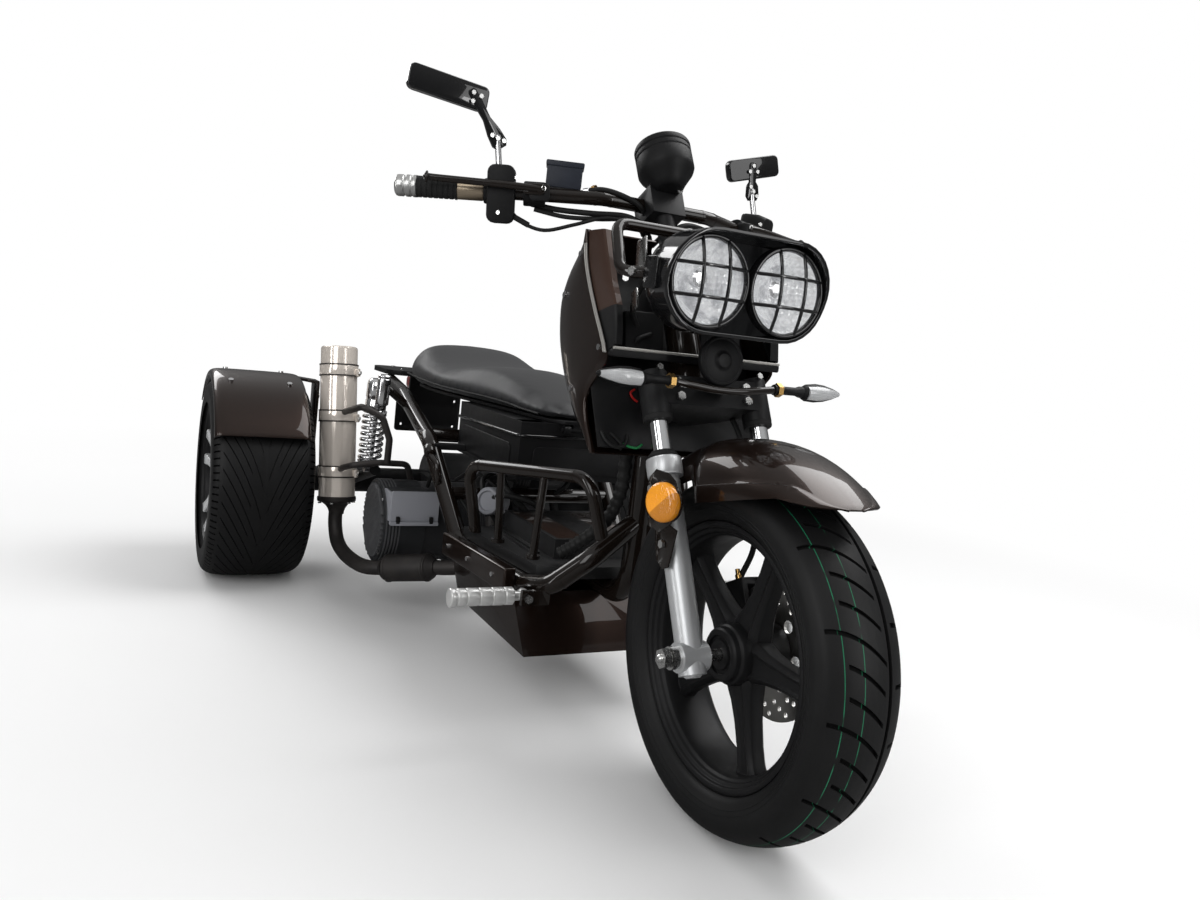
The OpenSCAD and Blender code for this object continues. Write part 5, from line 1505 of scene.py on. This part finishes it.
class TRIKE_OT_exhaust(Piece):
    """Standing silencer with a banded polished skin, its stays, foot and tail, and the exhaust run with its can"""

    bl_idname = "trike.exhaust"
    bl_label = "Exhaust"

    LENGTH = 350

    def make(self):
        low = mm(-302, 526, 206)
        up = Vector((-10, 46, self.LENGTH)).normalized()
        side = up.orthogonal().normalized()
        face = Vector((0.8, -0.6, 0)).normalized()
        skin = turned([(0, 0), (38, 0), (40.4, 2), (41, 5), (41, 344), (40, 348), (37, 350), (34.5, 349), (34, 345),
                       (33, 334), (0, 333)], low, up, 80)
        bands, lines, bolts = [], [], []
        for share in (0.18, 0.545, 0.845):
            h = share * self.LENGTH
            bands.append(rounded(turned([(40.8, h - 11), (43.2, h - 11), (43.2, h + 11), (40.8, h + 11)], low, up, 80,
                                        True), 0.8, 2, 30))
            lines += [turned([(40.8, h + d - 1.3), (43.9, h + d - 1.3), (43.9, h + d + 1.3), (40.8, h + d + 1.3)],
                             low, up, 64, True) for d in (-12.4, 12.4)]
            lug = low + up * h / 1000 + face * 0.046
            bands.append(slab(lug, (0.6, 0.8, 0), up, 12, 18, 8, 2))
            bolts.append((lug + face * 0.0035, face, 4.6))
        tail = turned([(13, 334), (20, 334), (20, 345), (19, 347), (17.5, 346), (17, 343), (17, 336)], low, up, 48,
                      True)
        keep(joined([skin, *bands]), "silencer_skin", "polished_steel", "chassis", ["silencer"], 38)
        keep(joined([tail, *lines]), "silencer_tail", "exhaust_matte", "chassis", ())
        foot = turned([(0, -36), (16.4, -36), (17.2, -30), (20, -22), (26, -14), (34, -8), (42, -6), (43.5, -4),
                       (43.5, 4), (42, 5.5), (0, 5.5)], low, up, 64)
        rod = tube(bent([low + up * 0.196, mm(-297, 476, 418), mm(-289, 398, 436), mm(-246, 388, 416),
                         mm(-227, 388, 368), mm(-226, 396, 314)], 0.022), 7.5, 4)
        rail = tube(bent([low + up * 0.063, mm(-306, 470, 288), mm(-300, 402, 306), mm(-241, 397, 314),
                          mm(-178, 402, 312), mm(-160, 415, 262)], 0.02), 7, 4)
        rings = []
        a, b = mm(-166, 212, 126), mm(-236, 290, 104)
        for end, way in ((a, a - b), (b, b - a)):
            rings.append(turned([(29.2, -9), (30.2, -8), (30.2, -5), (29.2, -4)], end, way, 44, True))
            rings.append(turned([(0, 0.4), (27, 0.4), (24, 5), (17, 12), (16.2, 14), (0, 14)], end, way, 44))
        keep(joined([foot, rod, rail]), "silencer_foot", "exhaust_matte", "chassis", (), 40)
        can = rounded(turned([(0, 0), (29, 0), (29, 106.8), (0, 106.8)], a, b - a, 64), 4, 4, 40)
        way = (b - a).normalized() * 0.012
        runs = [tube(smooth([mm(-46, 188, 240), mm(-48, 170, 185), mm(-66, 160, 150), mm(-116, 172, 136), a + way],
                            9), 15.8, 6),
                tube(smooth([b - way, mm(-272, 334, 96), mm(-290, 425, 95), mm(-299, 490, 110), mm(-302, 520, 145),
                             mm(-302, 526, 182)], 9), 15.8, 6)]
        keep(joined([can, *runs, *rings]), "exhaust_run", "exhaust_matte", "chassis", ["exhaust_pipe"],
             42)
        for t in angles(6):
            out = side * math.cos(t + 0.3) + up.cross(side) * math.sin(t + 0.3)
            bolts.append((low - up * 0.0065 + out * 0.0385, -up, 4.2))
        keep(stamp(hex_bolt(), bolts), "exhaust_bolts", "bright_zinc", "chassis")


class TRIKE_OT_dampers(Piece):
    """Rear dampers with wound springs, perches and piggyback cans"""

    bl_idname = "trike.dampers"
    bl_label = "Rear dampers"

    def make(self):
        coils, bodies, cans = [], [], []
        turns, wire = sizes().spring_turns, sizes().spring_wire
        for side in SIDES:
            low, top = mm(side * 252, 452, 306), mm(side * 247, 446, 492)
            up = (top - low).normalized()
            right = up.orthogonal().normalized()
            fore = up.cross(right)
            path = []
            count = turns * 20
            for k in range(count + 1):
                t = k / 20 * math.tau
                h = 0.006 + 0.106 * k / count
                path.append(low + up * h + (right * math.cos(t) + fore * math.sin(t)) * 0.0226)
            coils.append(tube(path, wire * 1000, 3))
            bodies.append(turned([(0, -8), (9, -8), (9, -2), (24, -1), (26.5, 1), (26.5, 3), (24, 4.5), (11, 5),
                                  (8, 8), (8, 116), (0, 116)], low, up, 40))
            cans.append(turned([(0, 112), (24, 112), (26.5, 114), (26.5, 118), (23.2, 120), (23.2, 140), (22, 142),
                                (22, 146), (23.2, 148), (23.2, 176), (21.5, 184), (17, 189), (0, 191)], low, up, 44))
            bodies.append(turned([(6, -10), (11, -10), (11, 10), (6, 10)], low + up * -0.012, CROSS, 32, True))
            can = low + up * 0.168 + Vector((side * -0.004, -0.034, 0))
            cans.append(rounded(turned([(0, -34), (12, -34), (14.5, -31), (14.5, 24), (13.5, 25), (13.5, 27),
                                        (14.5, 28), (14.5, 31), (12, 34), (0, 34)], can, up, 32), 0.6, 2, 30))
            cans.append(slab(low + up * 0.172 + Vector((0, -0.02, 0)), AFT, up, 26, 16, 16, 4))
        keep(joined(coils), "damper_springs", "chrome", "chassis", ["rear_dampers"], 60)
        keep(joined(bodies), "damper_rods", "chrome", "chassis", (), 40)
        keep(joined(cans), "damper_cans", "chrome", "chassis", (), 40)


class TRIKE_OT_rear_guards(Piece):
    """Rear mudguards with rolled edges, stays and bright bolts"""

    bl_idname = "trike.rear_guards"
    bl_label = "Rear mudguards"

    SHIFT = 0.007

    def make(self):
        shells, stays, bolts = [], [], []
        for side in SIDES:
            hub = REAR_AXLE + Vector((side * (REAR_X + self.SHIFT), 0, 0))
            half = [(0, 248.4), (30, 248.3), (60, 248), (78, 247.4), (88, 246), (94, 243.4), (97.4, 239.6),
                    (98.6, 235), (98.8, 230)]
            rows = [mm(x, 0, r) for x, r in half]
            ob = begin()
            trace(smooth([hub + p for p in mirrored(rows) + rows[1:]], 2))
            mould(lambda co: hub + Matrix.Rotation(math.radians(-48), 3, "X") @ (co - hub))
            spin(54, hub, angle=math.radians(-108))
            weld()
            modify(ob, "SOLIDIFY", thickness=0.0024, offset=-1)
            shells.append(rounded(ob, 0.8, 2, 50))
            end = REAR_X - 0.1075 - 0.014
            stays.append(rounded(plate([Vector((side * (end - 0.012), REAR_Y + y, z))
                                        for y, z in ((-0.022, 0.26), (0.022, 0.26), (0.03, 0.42), (0.03, 0.463),
                                                     (-0.03, 0.463), (-0.03, 0.42))], (side * 0.009, 0, 0)), 1.6))
            inner = REAR_X + self.SHIFT - 0.1
            stays.append(rounded(plate([Vector((side * x, 0.627, z)) for x, z in ((end - 0.012, 0.466),
                    (inner + 0.03, 0.473), (inner + 0.03, 0.468), (end - 0.012, 0.458))], (0, 0.056, 0)), 1.2))
            for y, x in ((0.56, -0.062), (0.56, 0.062), (0.7, -0.062), (0.7, 0.062)):
                out = Vector((0, y - REAR_Y, math.sqrt(0.2486 ** 2 - (y - REAR_Y) ** 2)))
                bolts.append((hub + CROSS * x + out, out, 5.4))
            bolts.append((Vector((side * (end - 0.0125), REAR_Y, 0.43)), (-side, 0, 0), 7))
        keep(joined(shells), "rear_guard_shells", "body_gloss", "chassis", ["rear_guards"], 50)
        keep(joined(stays), "rear_guard_stays", "tube_gloss", "chassis", ())
        keep(stamp(cap_bolt(), bolts), "rear_guard_bolts", "chrome", "chassis")


class TRIKE_OT_pegs(Piece):
    """Ringed alloy foot pegs on their pivots"""

    bl_idname = "trike.pegs"
    bl_label = "Foot pegs"

    def make(self):
        for side, name in NAMED_SIDES:
            pivot = mm(side * 176, -304, 222)
            out = Vector((side, 0, 0))
            rows = [(0, 6), (7.8, 6), (7.8, 18), (12.4, 19), (14.3, 20.5)]
            for k in range(4):
                h = 33 + k * 21
                rows += [(14.3, h), (13.0, h + 0.8), (13.0, h + 2.6), (14.3, h + 3.4)]
            rows += [(14.3, 111), (12.8, 112), (12.8, 115), (15, 116), (15, 122.6), (13.6, 124), (0, 124)]
            bar = rounded(turned(rows, pivot, out, 36), 0.5, 2, 30)
            eye = turned([(4.4, -9.4), (9.2, -9.4), (10, -8.4), (10, 8.4), (9.2, 9.4), (4.4, 9.4)], pivot, AFT, 36,
                         True)
            keep(joined([bar, eye]), "foot_peg_" + name + "_ringed", "satin_silver", "foot_peg_" + name,
                 ["peg_" + name])
            bolts = [(pivot + Vector((0, y, 0)), (0, y, 0), 7) for y in (-0.0182, 0.0182)]
            keep(stamp(hex_bolt(), bolts), "peg_pivot_bolts_" + name, "bright_zinc", "chassis")


class TRIKE_OT_engine(Piece):
    """Engine casting with fins, covers, fan grille, carburettor, hoses and the wiring loom"""

    bl_idname = "trike.engine"
    bl_label = "Engine"

    FAN = 375, 190

    def make(self):
        recast("chassis", 40, ("engine_case", 3, 3, "engine_case_cast", "engine_cast", "engine_cast"),
               ("engine_barrel", 1.4, 2, "engine_barrel_fins", "engine_cast", "engine_cast"),
               ("engine_shroud", 2.0, 2, "engine_fan_cover", "fan_cover", "black_plastic"))
        self.covers()
        self.pipes()

    def covers(self):
        """Side covers, fan grille, caps and bolts."""
        grey = [slab(mm(-193, 267.5, 243), CROSS, UP, 104, 66, 9, 4, 0.97), slab(mm(-193, 265, 207.5), CROSS, UP, 104,
                8, 12, 2),
                slab(mm(-241, 302, 240), AFT, UP, 56, 62, 7, 5)]
        grey.append(turned([(0, 0), (24, 0), (27, 4), (27, 40), (25, 43), (20, 44), (18, 40), (0, 40)],
                           mm(-86, 60, 300), (-0.82, -0.55, 0.12), 40))
        keep(joined(grey), "engine_side_covers", "engine_grey", "chassis", (), 40)
        clips = [slab(mm(x, 261.5, 215), UP, CROSS, 15, 8, 6, 2) for x in (-229, -157)]
        slats = []
        for k in range(-8, 9):
            long = 2 * math.sqrt(81 ** 2 - (9.2 * k) ** 2)
            slats.append(slab(mm(-250, self.FAN[0] - 6.5 * k, self.FAN[1] + 6.5 * k), (0, 1, 1), CROSS, long, 11, 3.6,
                              0.9))
        slats += [turned([(89.4, -1.7), (91.8, -1.2), (91.8, 1.2), (89.4, 1.7)], mm(-245 + 7 * k, *self.FAN), CROSS,
                         72, True) for k in range(5)]
        keep(joined(slats), "engine_fan_slats", "fan_grille", "chassis", (), 40)
        clips += [turned([(0, 0), (13, 0), (15, 2), (15, 10), (12, 13), (0, 13)], mm(-119, 372, 268), (0, 0.2, 1),
                         28)]
        clips.append(rounded(turned([(0, 0), (34, 0), (38, 4), (38, 26), (34, 32), (0, 34)], mm(118, *self.FAN),
                                    CROSS, 48), 1.2, 2, 30))
        clips.append(rounded(turned([(0, 0), (22, 0), (25, 3), (25, 92), (22, 96), (0, 96)], mm(-60, 250, 292),
                                    (1, 0.1, 0.05), 36), 1, 2, 30))
        keep(joined(clips), "engine_caps", "cast_black", "chassis", (), 40)
        spots = [(place, CROSS, 5) for place in circle(mm(0, *self.FAN), 118.5, 70, angles(7))]
        spots += [(place, -CROSS, 3.4) for place in circle(mm(0, *self.FAN), -250, 86, (0.5, 2.4, 3.9, 5.4))]
        keep(stamp(hex_bolt(), spots), "engine_bolts", "bright_zinc", "chassis")

    def pipes(self):
        """Carburettor, hoses and the wiring loom."""
        carb = [slab(mm(10, 232, 318), CROSS, UP, 52, 46, 52, 8),
                turned([(0, 0), (17, 0), (19, 2), (19, 26), (16, 30), (0, 31)], mm(10, 232, 338), UP, 32),
                turned([(15, 0), (22, 0), (23, 2), (23, 7), (15, 8)], mm(10, 206, 318), AHEAD, 32, True)]
        keep(joined(carb), "carburettor", "machined_alloy", "chassis", (), 40)
        hoses = [ribbed(((10, 200, 318), (6, 172, 322), (-18, 140, 330), (-52, 118, 330)), 19, 3, 0.88),
                 hose([(-40, 20, 274), (-60, 6, 300), (-86, 24, 330), (-80, 70, 346), (-40, 100, 340)], 7, 3),
                 hose([(-20, -10, 295), (-60, -20, 318), (-100, 10, 322), (-110, 60, 300), (-90, 100, 280)], 6, 3),
                 hose([(-96, 40, 262), (-118, 52, 300), (-112, 96, 334), (-70, 150, 340)], 5, 3),
                 hose([(40, 120, 296), (70, 90, 330), (90, 140, 352), (70, 220, 340), (36, 232, 330)], 5, 3),
                 hose([(0, 168, 258), (-30, 150, 290), (-66, 170, 318), (-90, 220, 330), (-100, 290, 300)], 4, 3),
                 hose([(-140, 60, 262), (-150, 100, 290), (-176, 160, 330), (-168, 230, 346), (-150, 290, 330),
                       (-150, 330, 276)], 4.2, 3)]
        keep(joined(hoses), "engine_hoses", "hose_rubber", "chassis", (), 50)
        loom = ribbed(((-29, -324, 532), (-29, -323, 460), (-30, -321, 400), (-40, -312, 356), (-58, -296, 324),
                       (-80, -274, 296), (-98, -258, 277)), 11.6, 4, 0.86)
        keep(loom, "loom_conduit", "hose_rubber", "chassis", ["wiring_loom"], 50)


class TRIKE_OT_chain(Piece):
    """Roller chain on toothed sprockets"""

    bl_idname = "trike.chain"
    bl_label = "Chain"

    PITCH = 0.0127

    def make(self):
        small, big = Vector((0.1325, 0.470, 0.214)), Vector((0.1325, REAR_Y, REAR_Z))
        ra, rb = 33.5, 83.5
        span = (big - small).length * 1000
        tilt = math.atan2(big.z - small.z, big.y - small.y)
        lean = math.acos((ra - rb) / span)
        path = circle(big, 0, rb, [tilt + lean - 2 * lean * k / 24 for k in range(25)])
        path += circle(small, 0, ra, [tilt - lean - (math.tau - 2 * lean) * k / 14 for k in range(15)])
        path.append(path[0])
        total = sum((b - a).length for a, b in zip(path, path[1:]))
        count = round(total / self.PITCH / 2) * 2
        spots, walked, goal = [], 0, 0
        for a, b in zip(path, path[1:]):
            d = (b - a).length
            while goal <= walked + d and len(spots) < count:
                spots.append(a + (b - a) * ((goal - walked) / d))
                goal += total / count
            walked += d
        alone()
        bpy.ops.mesh.primitive_cylinder_add(vertices=8, radius=1, depth=1)
        link = bpy.context.object
        edit(link)
        cheek = lambda lift: lambda co: Vector((co.x * (8.6 if abs(co.x) > 0.5 else 4.2), co.y * 4.6,
                                                co.z * 1.6 + lift))
        mould(cheek(4.4))
        bpy.ops.mesh.primitive_cylinder_add(vertices=8, radius=1, depth=1)
        mould(cheek(-4.4), True)
        for x in (-6.2, 6.2):
            bpy.ops.mesh.primitive_cylinder_add(vertices=8, radius=3.2, depth=8, location=(x, 0, 0))
        weld()
        obs = []
        for k, (a, b) in enumerate(zip(spots, spots[1:] + spots[:1])):
            along = (b - a).normalized()
            turn = Matrix((along, CROSS.cross(along), CROSS)).transposed().to_4x4()
            size = Matrix.Diagonal((0.001, 0.001, 0.001 * (1 if k % 2 else 0.78), 1))
            obs.append(copied(link, Matrix.Translation((a + b) / 2) @ turn @ size))
        bpy.data.objects.remove(link)
        keep(joined(obs), "chain_links", "chain_steel", "chassis", ["drive_chain"])
        wheels = []
        for hub, r, teeth, hole in ((big, 80, 40, 30.4), (small, 30, 16, 9)):
            wheels.append(turned([(hole, -2.6), (r, -2.6), (r, 2.6), (hole, 2.6)], hub, CROSS, 96, True))
            tooth = plate([hub + Vector((-0.0022, y / 1000, z / 1000)) for y, z in ((-4, r - 2), (-1.4, r + 6),
                    (1.4, r + 6), (4, r - 2))], (0.0044, 0, 0))
            spin(teeth, hub, copies=True)
            wheels.append(tooth)
        wheels.append(turned([(0, -12), (14, -12), (14, 4), (0, 4)], small, CROSS, 24))
        keep(joined(wheels), "chain_sprockets", "chain_steel", "chassis", ())


class TRIKE_OT_fixings(Piece):
    """Bolts, brackets and leads of the panels and the frame"""

    bl_idname = "trike.fixings"
    bl_label = "Fixings"

    def make(self):
        bolts = []
        for side in SIDES:
            for y, z in ((-0.331, 0.762), (-0.424, 0.627), (-0.288, 0.700), (-0.345, 0.560)):
                bolts.append((Vector((side * 0.1502, y, z)), (side, 0, 0), 4.6))
            for y in (-0.20, -0.10, -0.01):
                x = 0.148 + (y + 0.24) / 0.26 * 0.024 + 0.0395
                bolts.append((Vector((side * x, y, 0.228)), (side, -0.09, 0), 4))
        bolts += [(mm(x, 722, 503.6), UP, 5) for x in (-120, 120)] + [(mm(x, 812, 503.6), UP, 5) for x in (-120, 120)]
        keep(stamp(cap_bolt(), bolts), "panel_bolts", "chrome", "chassis")
        brackets = [rounded(plate([mm(side * 118, y, z) for y, z in ((-478, 742), (-470, 788), (-446, 780),
                (-452, 728))], (side * 0.003, 0, 0)), 0.6) for side in SIDES]
        brackets.append(rounded(plate([mm(-118, y, z) for y, z in ((-462, 690), (-454, 716), (-440, 708),
                (-450, 680))], (0.003, 0, 0)), 0.6))
        keep(joined(brackets), "lamp_brackets", "bright_zinc", "chassis")
        block = [slab(mm(62, -398, 640), CROSS, (0, 0.2, 1), 74, 56, 40, 6), slab(mm(-70, -392, 652), CROSS,
                (0, 0.2, 1), 66, 62, 34, 6),
                 slab(mm(-64, -366, 560), CROSS, (0, 0.4, 1), 60, 50, 36, 6)]
        keep(joined(block), "shield_boxes", "moulded_black", "chassis", (), 40)
        leads = [hose([(-60, -410, 654), (-84, -414, 644), (-80, -404, 630), (-56, -388, 624)], 3.4),
                 hose([(60, -412, 656), (90, -416, 646), (84, -406, 632), (50, -388, 624)], 3.4),
                 hose([(-96, -440, 760), (-90, -426, 728), (-96, -410, 690), (-80, -404, 660)], 4),
                 hose([(-64, -385, 540), (-72, -392, 516), (-58, -384, 498), (-40, -360, 500)], 3)]
        leads.append(hose(((-138, 76, 336), (-132, 74, 320), (-118, 73, 311), (-102, 73, 316), (-94, 76, 332)), 2.6,
                          at=fork))
        leads.append(hose(((-124, 76, 334), (-116, 74, 326), (-108, 74, 315), (-110, 76, 308)), 2.2, at=fork))
        keep(joined(leads), "shield_leads", "hose_rubber", "chassis", (), 60)
        keep(hose(((-72, 76, 406), (-80, 75, 400), (-78, 75, 392), (-70, 76, 386)), 1.8, at=fork), "shield_red_lead",
             "red_wire", "chassis")
        keep(hose(((-104, 76, 318), (-94, 74, 313), (-82, 74, 312), (-72, 76, 318)), 1.8, at=fork),
             "shield_green_lead", "green_wire", "chassis")
        link = [tube(bent([mm(-205, 150, 372), mm(-200, 120, 360), mm(-196, 116, 330), mm(-190, 130, 312)], 0.02), 7,
                     3)]
        link.append(turned([(0, 0), (11, 0), (12, 1), (12, 20), (11, 21), (0, 21)], mm(-206, 152, 374),
                           (0.1, 0.7, 0.5), 28))
        keep(joined(link), "side_link", "tube_gloss", "chassis", (), 60)


class TRIKE_OT_stage(Piece):
    """Pale floor, soft studio lamps and the camera at the photograph's angle"""

    bl_idname = "trike.stage"
    bl_label = "Stage"

    LAMPS = [("key_lamp", (1.5, -0.3, 3.0), (0, 0, 0.4), 2.2, 2.2, 62),
             ("fill_lamp", (-2.6, -2.4, 2.0), (-0.1, -0.2, 0.5), 1.6, 2.4, 34),
             ("front_lamp", (1.4, -3.0, 1.5), (0, -0.5, 0.5), 1.2, 1.8, 16),
             ("back_lamp", (-1.4, 2.9, 2.2), (0, 0.3, 0.4), 2.0, 1.2, 34),
             ("side_strip", (-2.7, -0.5, 0.9), (0, 0, 0.45), 0.22, 1.9, 9),
             ("front_strip", (0.9, -2.9, 0.8), (0, -0.4, 0.5), 0.2, 1.6, 6)]
    CAMERA_AT = -0.7642, -1.6269, 0.6414
    CAMERA_RIGHT, CAMERA_UP = Vector((0.88567, -0.45120, 0.10957)), Vector((-0.04225, 0.15669, 0.98674))

    def make(self):
        scene = bpy.context.scene
        scene.view_settings.view_transform = "Standard"
        alone()
        bpy.ops.mesh.primitive_circle_add(vertices=96, radius=14, fill_type="NGON", location=(0, 0, -0.0006))
        floor = bpy.context.object
        bpy.ops.object.transform_apply()
        floor.name = floor.data.name = "studio_floor"
        f = Finish("studio_floor")
        x, y, _ = f.axes()
        far = x.do("SQRT", x * x * 0.5 + y * y * 0.32).soft(0.75, 1.9)
        ray = f.node("ShaderNodeLightPath")
        seen = ray["Is Camera Ray"].do("MAXIMUM", ray["Is Camera Ray"], ray["Is Transmission Ray"])
        lit = f.node("ShaderNodeBsdfDiffuse", None, {"Color": colour("floor")})["BSDF"]
        white = f.node("ShaderNodeEmission", None, {"Color": (1, 1, 1, 1), "Strength": 1.0})["Emission"]
        dim = f.node("ShaderNodeBsdfDiffuse", None, {"Color": (0.12, 0.12, 0.12, 1)})["BSDF"]
        lit = f.node("ShaderNodeMixShader", None, {0: ray["Is Glossy Ray"] * 0.85, 1: lit, 2: dim})["Shader"]
        mixed = f.node("ShaderNodeMixShader", None, {0: far * seen, 1: lit, 2: white})["Shader"]
        f.node("ShaderNodeOutputMaterial", None, {"Surface": mixed})
        floor.data.materials.append(f.material)
        self.world(scene)
        for name, place, aim, wide, tall, power in self.LAMPS:
            light = bpy.data.lights.new(name, "AREA")
            light.shape, light.size, light.size_y, light.energy = "RECTANGLE", wide, tall, power
            ob = bpy.data.objects.new(name, light)
            scene.collection.objects.link(ob)
            ob.location = place
            ob.rotation_euler = (Vector(aim) - Vector(place)).to_track_quat("-Z", "Y").to_euler()
        camera = bpy.data.cameras.new("photo_camera")
        camera.lens, camera.sensor_width, camera.sensor_fit = sizes().lens, 36, "HORIZONTAL"
        camera.clip_start, camera.clip_end = 0.05, 60
        ob = bpy.data.objects.new("photo_camera", camera)
        scene.collection.objects.link(ob)
        back = self.CAMERA_RIGHT.cross(self.CAMERA_UP).normalized()
        turn = Matrix((self.CAMERA_RIGHT, self.CAMERA_UP, back)).transposed().to_4x4()
        ob.matrix_world = Matrix.Translation(self.CAMERA_AT) @ turn
        scene.camera = ob

    def world(self, scene):
        """White to the camera, soft and brighter overhead to glossy surfaces, even to the rest."""
        f = Finish("studio", "worlds")
        scene.world = f.material
        ray = f.node("ShaderNodeLightPath")
        up = f.node("ShaderNodeSeparateXYZ", None, {"Vector": f.node("ShaderNodeTexCoord")["Generated"]})["Z"]
        sheen = ray["Is Glossy Ray"] * (up.soft(0.1, 0.95) * 0.42 + 0.10)
        clear = sheen.do("MAXIMUM", ray["Is Camera Ray"], ray["Is Transmission Ray"])
        level = sheen.do("MAXIMUM", clear, sheen.do("MAXIMUM", sheen, (1 - ray["Is Glossy Ray"]) * 0.42))
        sky = f.node("ShaderNodeBackground", None, {"Color": (1, 1, 1, 1), "Strength": level})["Background"]
        f.node("ShaderNodeOutputWorld", None, {"Surface": sky})


class TRIKE_OT_plain_nodes(Piece):
    """Finishes of the frame tubes and other pieces that keep their CAD shape"""

    bl_idname = "trike.plain_nodes"
    bl_label = "Tubes and castings"

    def make(self):
        dress("tube_gloss", "frame_head", "frame_right", "frame_left", "guard_hoops", "handlebar")
        dress("cast_black", "rear_carrier")
        dress("fork_silver", "fork_legs")
        dress("bright_zinc", "front_axle")


class TRIKE_PT_panel(bpy.types.Panel):
    """Lists the pieces of the trike"""

    bl_idname = "TRIKE_PT_panel"
    bl_label = "Motor trike"
    bl_space_type = "VIEW_3D"
    bl_region_type = "UI"
    bl_category = "Trike"

    def draw(self, context):
        for group in (context.scene.trike_sizes, context.scene.trike_colours):
            for key in group.bl_rna.properties.keys():
                if key not in ("rna_type", "name"):
                    self.layout.prop(group, key)
        for piece in PIECES:
            self.layout.operator(piece.bl_idname)


PIECES = [TRIKE_OT_stage, TRIKE_OT_plain_nodes, TRIKE_OT_front_tyre, TRIKE_OT_rear_tyres, TRIKE_OT_front_rim,
          TRIKE_OT_rear_rims,
          TRIKE_OT_seat, TRIKE_OT_panels, TRIKE_OT_front_guard, TRIKE_OT_headlamps, TRIKE_OT_bar, TRIKE_OT_gauge,
          TRIKE_OT_mirrors,
          TRIKE_OT_signals, TRIKE_OT_fork, TRIKE_OT_exhaust, TRIKE_OT_dampers, TRIKE_OT_rear_guards, TRIKE_OT_pegs,
          TRIKE_OT_engine,
          TRIKE_OT_chain, TRIKE_OT_fixings]
CLASSES = [TrikeSizes, TrikeColours, *PIECES, TRIKE_PT_panel]


def register():
    for made in CLASSES:
        bpy.utils.register_class(made)
    bpy.types.Scene.trike_sizes = PointerProperty(type=TrikeSizes)
    bpy.types.Scene.trike_colours = PointerProperty(type=TrikeColours)


def unregister():
    del bpy.types.Scene.trike_colours
    del bpy.types.Scene.trike_sizes
    for made in reversed(CLASSES):
        bpy.utils.unregister_class(made)


def main():
    register()
    for piece in PIECES:
        group, name = piece.bl_idname.split(".")
        getattr(getattr(bpy.ops, group), name)()


if __name__ == "__main__":
    main()
